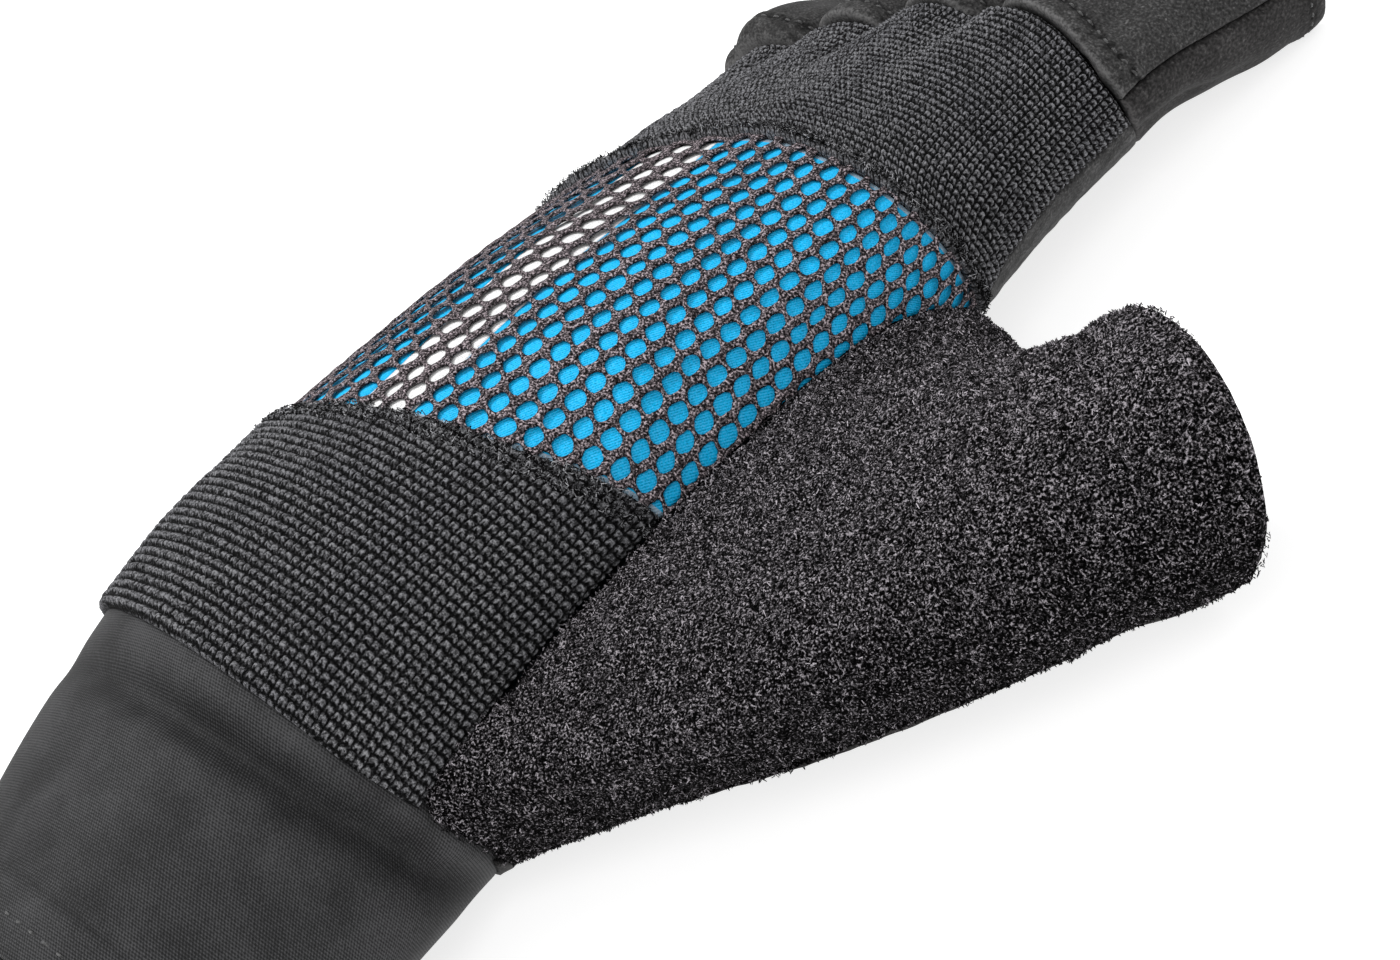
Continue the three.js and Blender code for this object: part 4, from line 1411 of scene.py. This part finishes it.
class GLOVE_OT_palm(bpy.types.Operator):
    """Builds the palm and the strip beside the index finger."""

    bl_idname = "glove.palm"
    bl_label = "Palm"

    palm_grid = (90, 90)
    palm_grain_height = 0.00006
    side_grid = (80, 48)
    side_grain_height = 0.00005
    grain_size = 0.0022

    def execute(self, context):
        colours = context.scene.glove_colours
        suede = brushed_material("palm_suede", colours.palm, SUEDE_GRAIN, SUEDE_SHEEN)
        points, _, _ = hand_grid(cuff_edge, hem, little_seam, palm_end_turn, *self.palm_grid)
        grain = ripple(points, self.grain_size, SEED + 41, 40)
        palm = cloth("palm_panel", points, SUEDE_THICK, self.palm_grain_height * grain,
                     np.clip(PLAIN_RELIEF + 0.15 * grain, 0, 1), inner_step=3)
        dress(palm, suede, "suede", "palm")
        declare_sheet(palm)
        points, _, _ = hand_grid(web_edge, hem, index_palm_seam, band_side, *self.side_grid)
        grain = ripple(points, self.grain_size, SEED + 42, 40)
        side = cloth("index_side_panel", points, SUEDE_THICK, self.side_grain_height * grain,
                     np.clip(PLAIN_RELIEF + 0.12 * grain, 0, 1), inner_step=2)
        dress(side, brushed_material("side_fabric", colours.fingers, NAP_GRAIN, NAP_SHEEN), "suede",
              "index_side")
        declare_sheet(side)
        return {"FINISHED"}


class GLOVE_OT_fingers(bpy.types.Operator):
    """Builds the four finger stalls with their folded hems and stitches."""

    bl_idname = "glove.fingers"
    bl_label = "Finger stalls"

    front_grid = (48, 48)
    back_grid = (72, 72)
    nearest_grid = (120, 120)
    row_bunching = 1.25
    edge_radius = 0.0006

    # folded hems: their width and height, and the row of stitches that draws them in
    hem_width = 0.0040
    hem_height = 0.00030
    hem_step = 0.0006
    stitch_line = 0.0031
    groove_width = 0.00045
    groove_depth = 0.00028

    # how far the back of each stall swells behind its hem
    stall_swell = {"index": 0.0, "middle": 0.0, "ring": 0.0003, "little": 0.0028}
    swell_reach = 0.7
    crown_reach = 0.3
    soft_height = 0.00015
    soft_size = 0.006

    # painted highlight along the folded edges, and rougher cloth with uneven tone near them
    edge_highlight_width = 0.00045
    rough_amount = 0.16
    rough_size = 0.0010
    rough_width = 0.0035

    def execute(self, context):
        colours = context.scene.glove_colours
        back = brushed_material("finger_fabric", colours.fingers, NAP_GRAIN, NAP_SHEEN)
        front = brushed_material("finger_suede", colours.palm, SUEDE_GRAIN, SUEDE_SHEEN)
        thread = thread_material(colours.thread)
        pitch = context.scene.glove_sizes.stitch_pitch
        for finger in FINGERS:
            self.half(finger, 0.4, 179.6, "back", back, "finger_fabric", thread, pitch)
            self.half(finger, 180.4, 359.6, "front", front, "suede", thread, pitch)
        return {"FINISHED"}

    def half(self, finger, first, last, side, material, slot, thread, pitch):
        """The back or the front of one stall, with its rows of stitches."""
        name = f"{finger.name}_{side}"
        is_back = side == "back"
        rows, cols = self.back_grid if is_back else self.front_grid
        if name == "index_back":
            rows, cols = self.nearest_grid
        u, v = unit_grid(rows, cols)
        points = stall_point(finger, u ** self.row_bunching, mix(first, last, v))
        along = travelled(points, 0)
        left = along[-1:] - along
        hems = {"base": along, "end": left} if is_back else {"end": left}
        groove = self.groove(points, hems.values(), pitch)
        base_fold = self.fold(along) if is_back else 0 * u
        soft = self.soft_height * ripple(points, self.soft_size, SEED + 51)
        height = self.proud(finger, u, v) if is_back else 0 * u
        height = height + base_fold + self.fold(left) - self.groove_depth * groove + soft
        to_edge = np.minimum(along, left)
        painted_edge_highlight = np.exp(-(to_edge / self.edge_highlight_width) ** 2)
        rough = self.rough_amount * ripple(points, self.rough_size, SEED + 52)
        rough = rough * (1 - ease((to_edge - self.rough_width) / 0.001))
        # the relief darkens the stitch holes as painted shade and lightens the folded edges as a
        # painted highlight
        relief = np.clip(PLAIN_RELIEF - 0.6 * groove + 0.6 * painted_edge_highlight + rough, 0, 1)
        piece = cloth(f"{name}_cloth", points, STALL_THICK, height, relief, inner_step=4,
                      edge=self.edge_radius)
        dress(piece, material, slot, name)
        declare_sheet(piece)
        normal = grid_normals(points)
        surface = points + normal * height[..., None]
        for label, distance in hems.items():
            row = np.abs(distance - self.stitch_line).argmin(axis=0)
            column = np.arange(cols + 1)
            line = surface[row, column][2:-2]
            sewn = stitches(f"{name}_{label}_stitches", line, normal[row, column][2:-2], pitch)
            dress(sewn, thread, slot)

    def proud(self, finger, u, v):
        """How far the back of a stall stands out behind its hem."""
        crown = np.sin(np.pi * v) ** 2
        wave = 1 + 0.18 * np.sin(2 * np.pi * v * 4.5)
        swell = self.stall_swell[finger.name] * wave
        behind = np.sin(np.pi * np.clip(u / self.swell_reach, 0, 1) ** 0.7)
        return (STALL_PROUD * crown * (1 - ease(u / self.crown_reach))
                + swell * np.sin(np.pi * v) * behind)

    def fold(self, distance):
        """Extra height of the folded cloth at a distance from its edge."""
        return self.hem_height * (1 - ease((distance - self.hem_width) / self.hem_step))

    def groove(self, points, distances, pitch):
        """Line drawn in by the stitches of each hem, from 0 beside it to about 1 in its holes."""
        pucker = 0.5 + 0.5 * np.cos(2 * np.pi * travelled(points, 1) / pitch)
        total = 0
        for distance in distances:
            line = np.exp(-((distance - self.stitch_line) / self.groove_width) ** 2)
            total = total + line * (0.3 + 0.9 * pucker ** 2)
        return total


class GLOVE_OT_stage(bpy.types.Operator):
    """Sets up the floor, the soft light and the camera."""

    bl_idname = "glove.stage"
    bl_label = "Stage"

    lamps = [
        Lamp("key", (-0.20, 0.08, 0.83), 0.28, 5.0),
        Lamp("rim", (-0.55, -0.45, 0.45), 0.40, 1.0),
        Lamp("fill", (0.60, -0.15, 0.60), 0.50, 2.2),
    ]
    sky_strength = 0.55
    floor_half = 3.0
    floor_drop = 0.00005
    paper = (0.50, 0.50, 0.50)
    paper_glow = 0.78
    white = (1, 1, 1, 1)

    def execute(self, context):
        scene = context.scene
        self.camera(scene)
        self.floor(scene)
        for lamp in self.lamps:
            self.light(scene, lamp)
        world = bpy.data.worlds.new("studio")
        world.use_nodes = True
        background = world.node_tree.nodes["Background"]
        background.inputs["Color"].default_value = self.white
        background.inputs["Strength"].default_value = self.sky_strength
        scene.world = world
        scene.view_settings.view_transform = "Standard"
        return {"FINISHED"}

    def camera(self, scene):
        azimuth = math.radians(CAMERA_AZIMUTH)
        elevation = math.radians(CAMERA_ELEVATION)
        roll = math.radians(CAMERA_ROLL)
        back = np.array([math.sin(azimuth) * math.cos(elevation),
                         -math.cos(azimuth) * math.cos(elevation), math.sin(elevation)])
        level = np.array([math.cos(azimuth), math.sin(azimuth), 0])
        upright = np.cross(back, level)
        right = level * math.cos(roll) + upright * math.sin(roll)
        up = -level * math.sin(roll) + upright * math.cos(roll)
        place = CAMERA_TARGET + back * CAMERA_DISTANCE
        lens = bpy.data.cameras.new("camera")
        lens.lens = CAMERA_LENS_MM
        lens.sensor_width = CAMERA_SENSOR_MM
        lens.clip_start = CAMERA_CLIP
        camera = bpy.data.objects.new("camera", lens)
        columns = np.stack([right, up, back, place], -1)
        camera.matrix_world = Matrix([*columns.tolist(), (0, 0, 0, 1)])
        scene.collection.objects.link(camera)
        scene.camera = camera

    def floor(self, scene):
        """White paper with some glow of its own, for the photograph's white ground."""
        size = self.floor_half
        corners = [(-size, -size, 0), (size, -size, 0), (size, size, 0), (-size, size, 0)]
        mesh = bpy.data.meshes.new("floor")
        mesh.from_pydata(corners, [], [(0, 1, 2, 3)])
        floor = bpy.data.objects.new("floor", mesh)
        floor.location.z = -self.floor_drop
        scene.collection.objects.link(floor)
        shader = Shader("floor_paper", self.paper, 0.9, specular=0.1)
        shader.surface.inputs["Emission Color"].default_value = self.white
        shader.surface.inputs["Emission Strength"].default_value = self.paper_glow
        floor.data.materials.append(shader.material)

    def light(self, scene, lamp):
        """A round soft lamp that looks at the glove."""
        data = bpy.data.lights.new(lamp.name, "AREA")
        data.shape = "DISK"
        data.size = lamp.size
        data.energy = lamp.power
        light = bpy.data.objects.new(lamp.name, data)
        light.location = lamp.place
        z = -unit(CAMERA_TARGET - np.array(lamp.place))
        x = unit(np.cross([0, 1, 0], z))
        y = np.cross(z, x)
        light.rotation_mode = "QUATERNION"
        light.rotation_quaternion = Matrix(np.stack([x, y, z], -1).tolist()).to_quaternion()
        scene.collection.objects.link(light)


STEPS = ("stage", "cuff", "bands", "lining", "net", "thumb", "palm", "fingers")


class GLOVE_PT_panel(bpy.types.Panel):
    """Sizes, colours and steps of the glove, in the sidebar."""

    bl_idname = "GLOVE_PT_panel"
    bl_label = "Fitness Glove"
    bl_space_type = "VIEW_3D"
    bl_region_type = "UI"
    bl_category = "Glove"

    def draw(self, context):
        for group in (context.scene.glove_sizes, context.scene.glove_colours):
            box = self.layout.box()
            for name in group.__annotations__:
                box.prop(group, name)
        for step in STEPS:
            self.layout.operator(f"glove.{step}")


CLASSES = (
    GloveSizes, GloveColours, GLOVE_OT_cuff, GLOVE_OT_bands, GLOVE_OT_lining, GLOVE_OT_net,
    GLOVE_OT_thumb, GLOVE_OT_palm, GLOVE_OT_fingers, GLOVE_OT_stage, GLOVE_PT_panel,
)


def register():
    for kind in CLASSES:
        bpy.utils.register_class(kind)
    bpy.types.Scene.glove_sizes = bpy.props.PointerProperty(type=GloveSizes)
    bpy.types.Scene.glove_colours = bpy.props.PointerProperty(type=GloveColours)


def unregister():
    del bpy.types.Scene.glove_colours
    del bpy.types.Scene.glove_sizes
    for kind in reversed(CLASSES):
        bpy.utils.unregister_class(kind)


def main():
    register()
    for step in STEPS:
        getattr(bpy.ops.glove, step)()


if __name__ == "__main__":
    main()
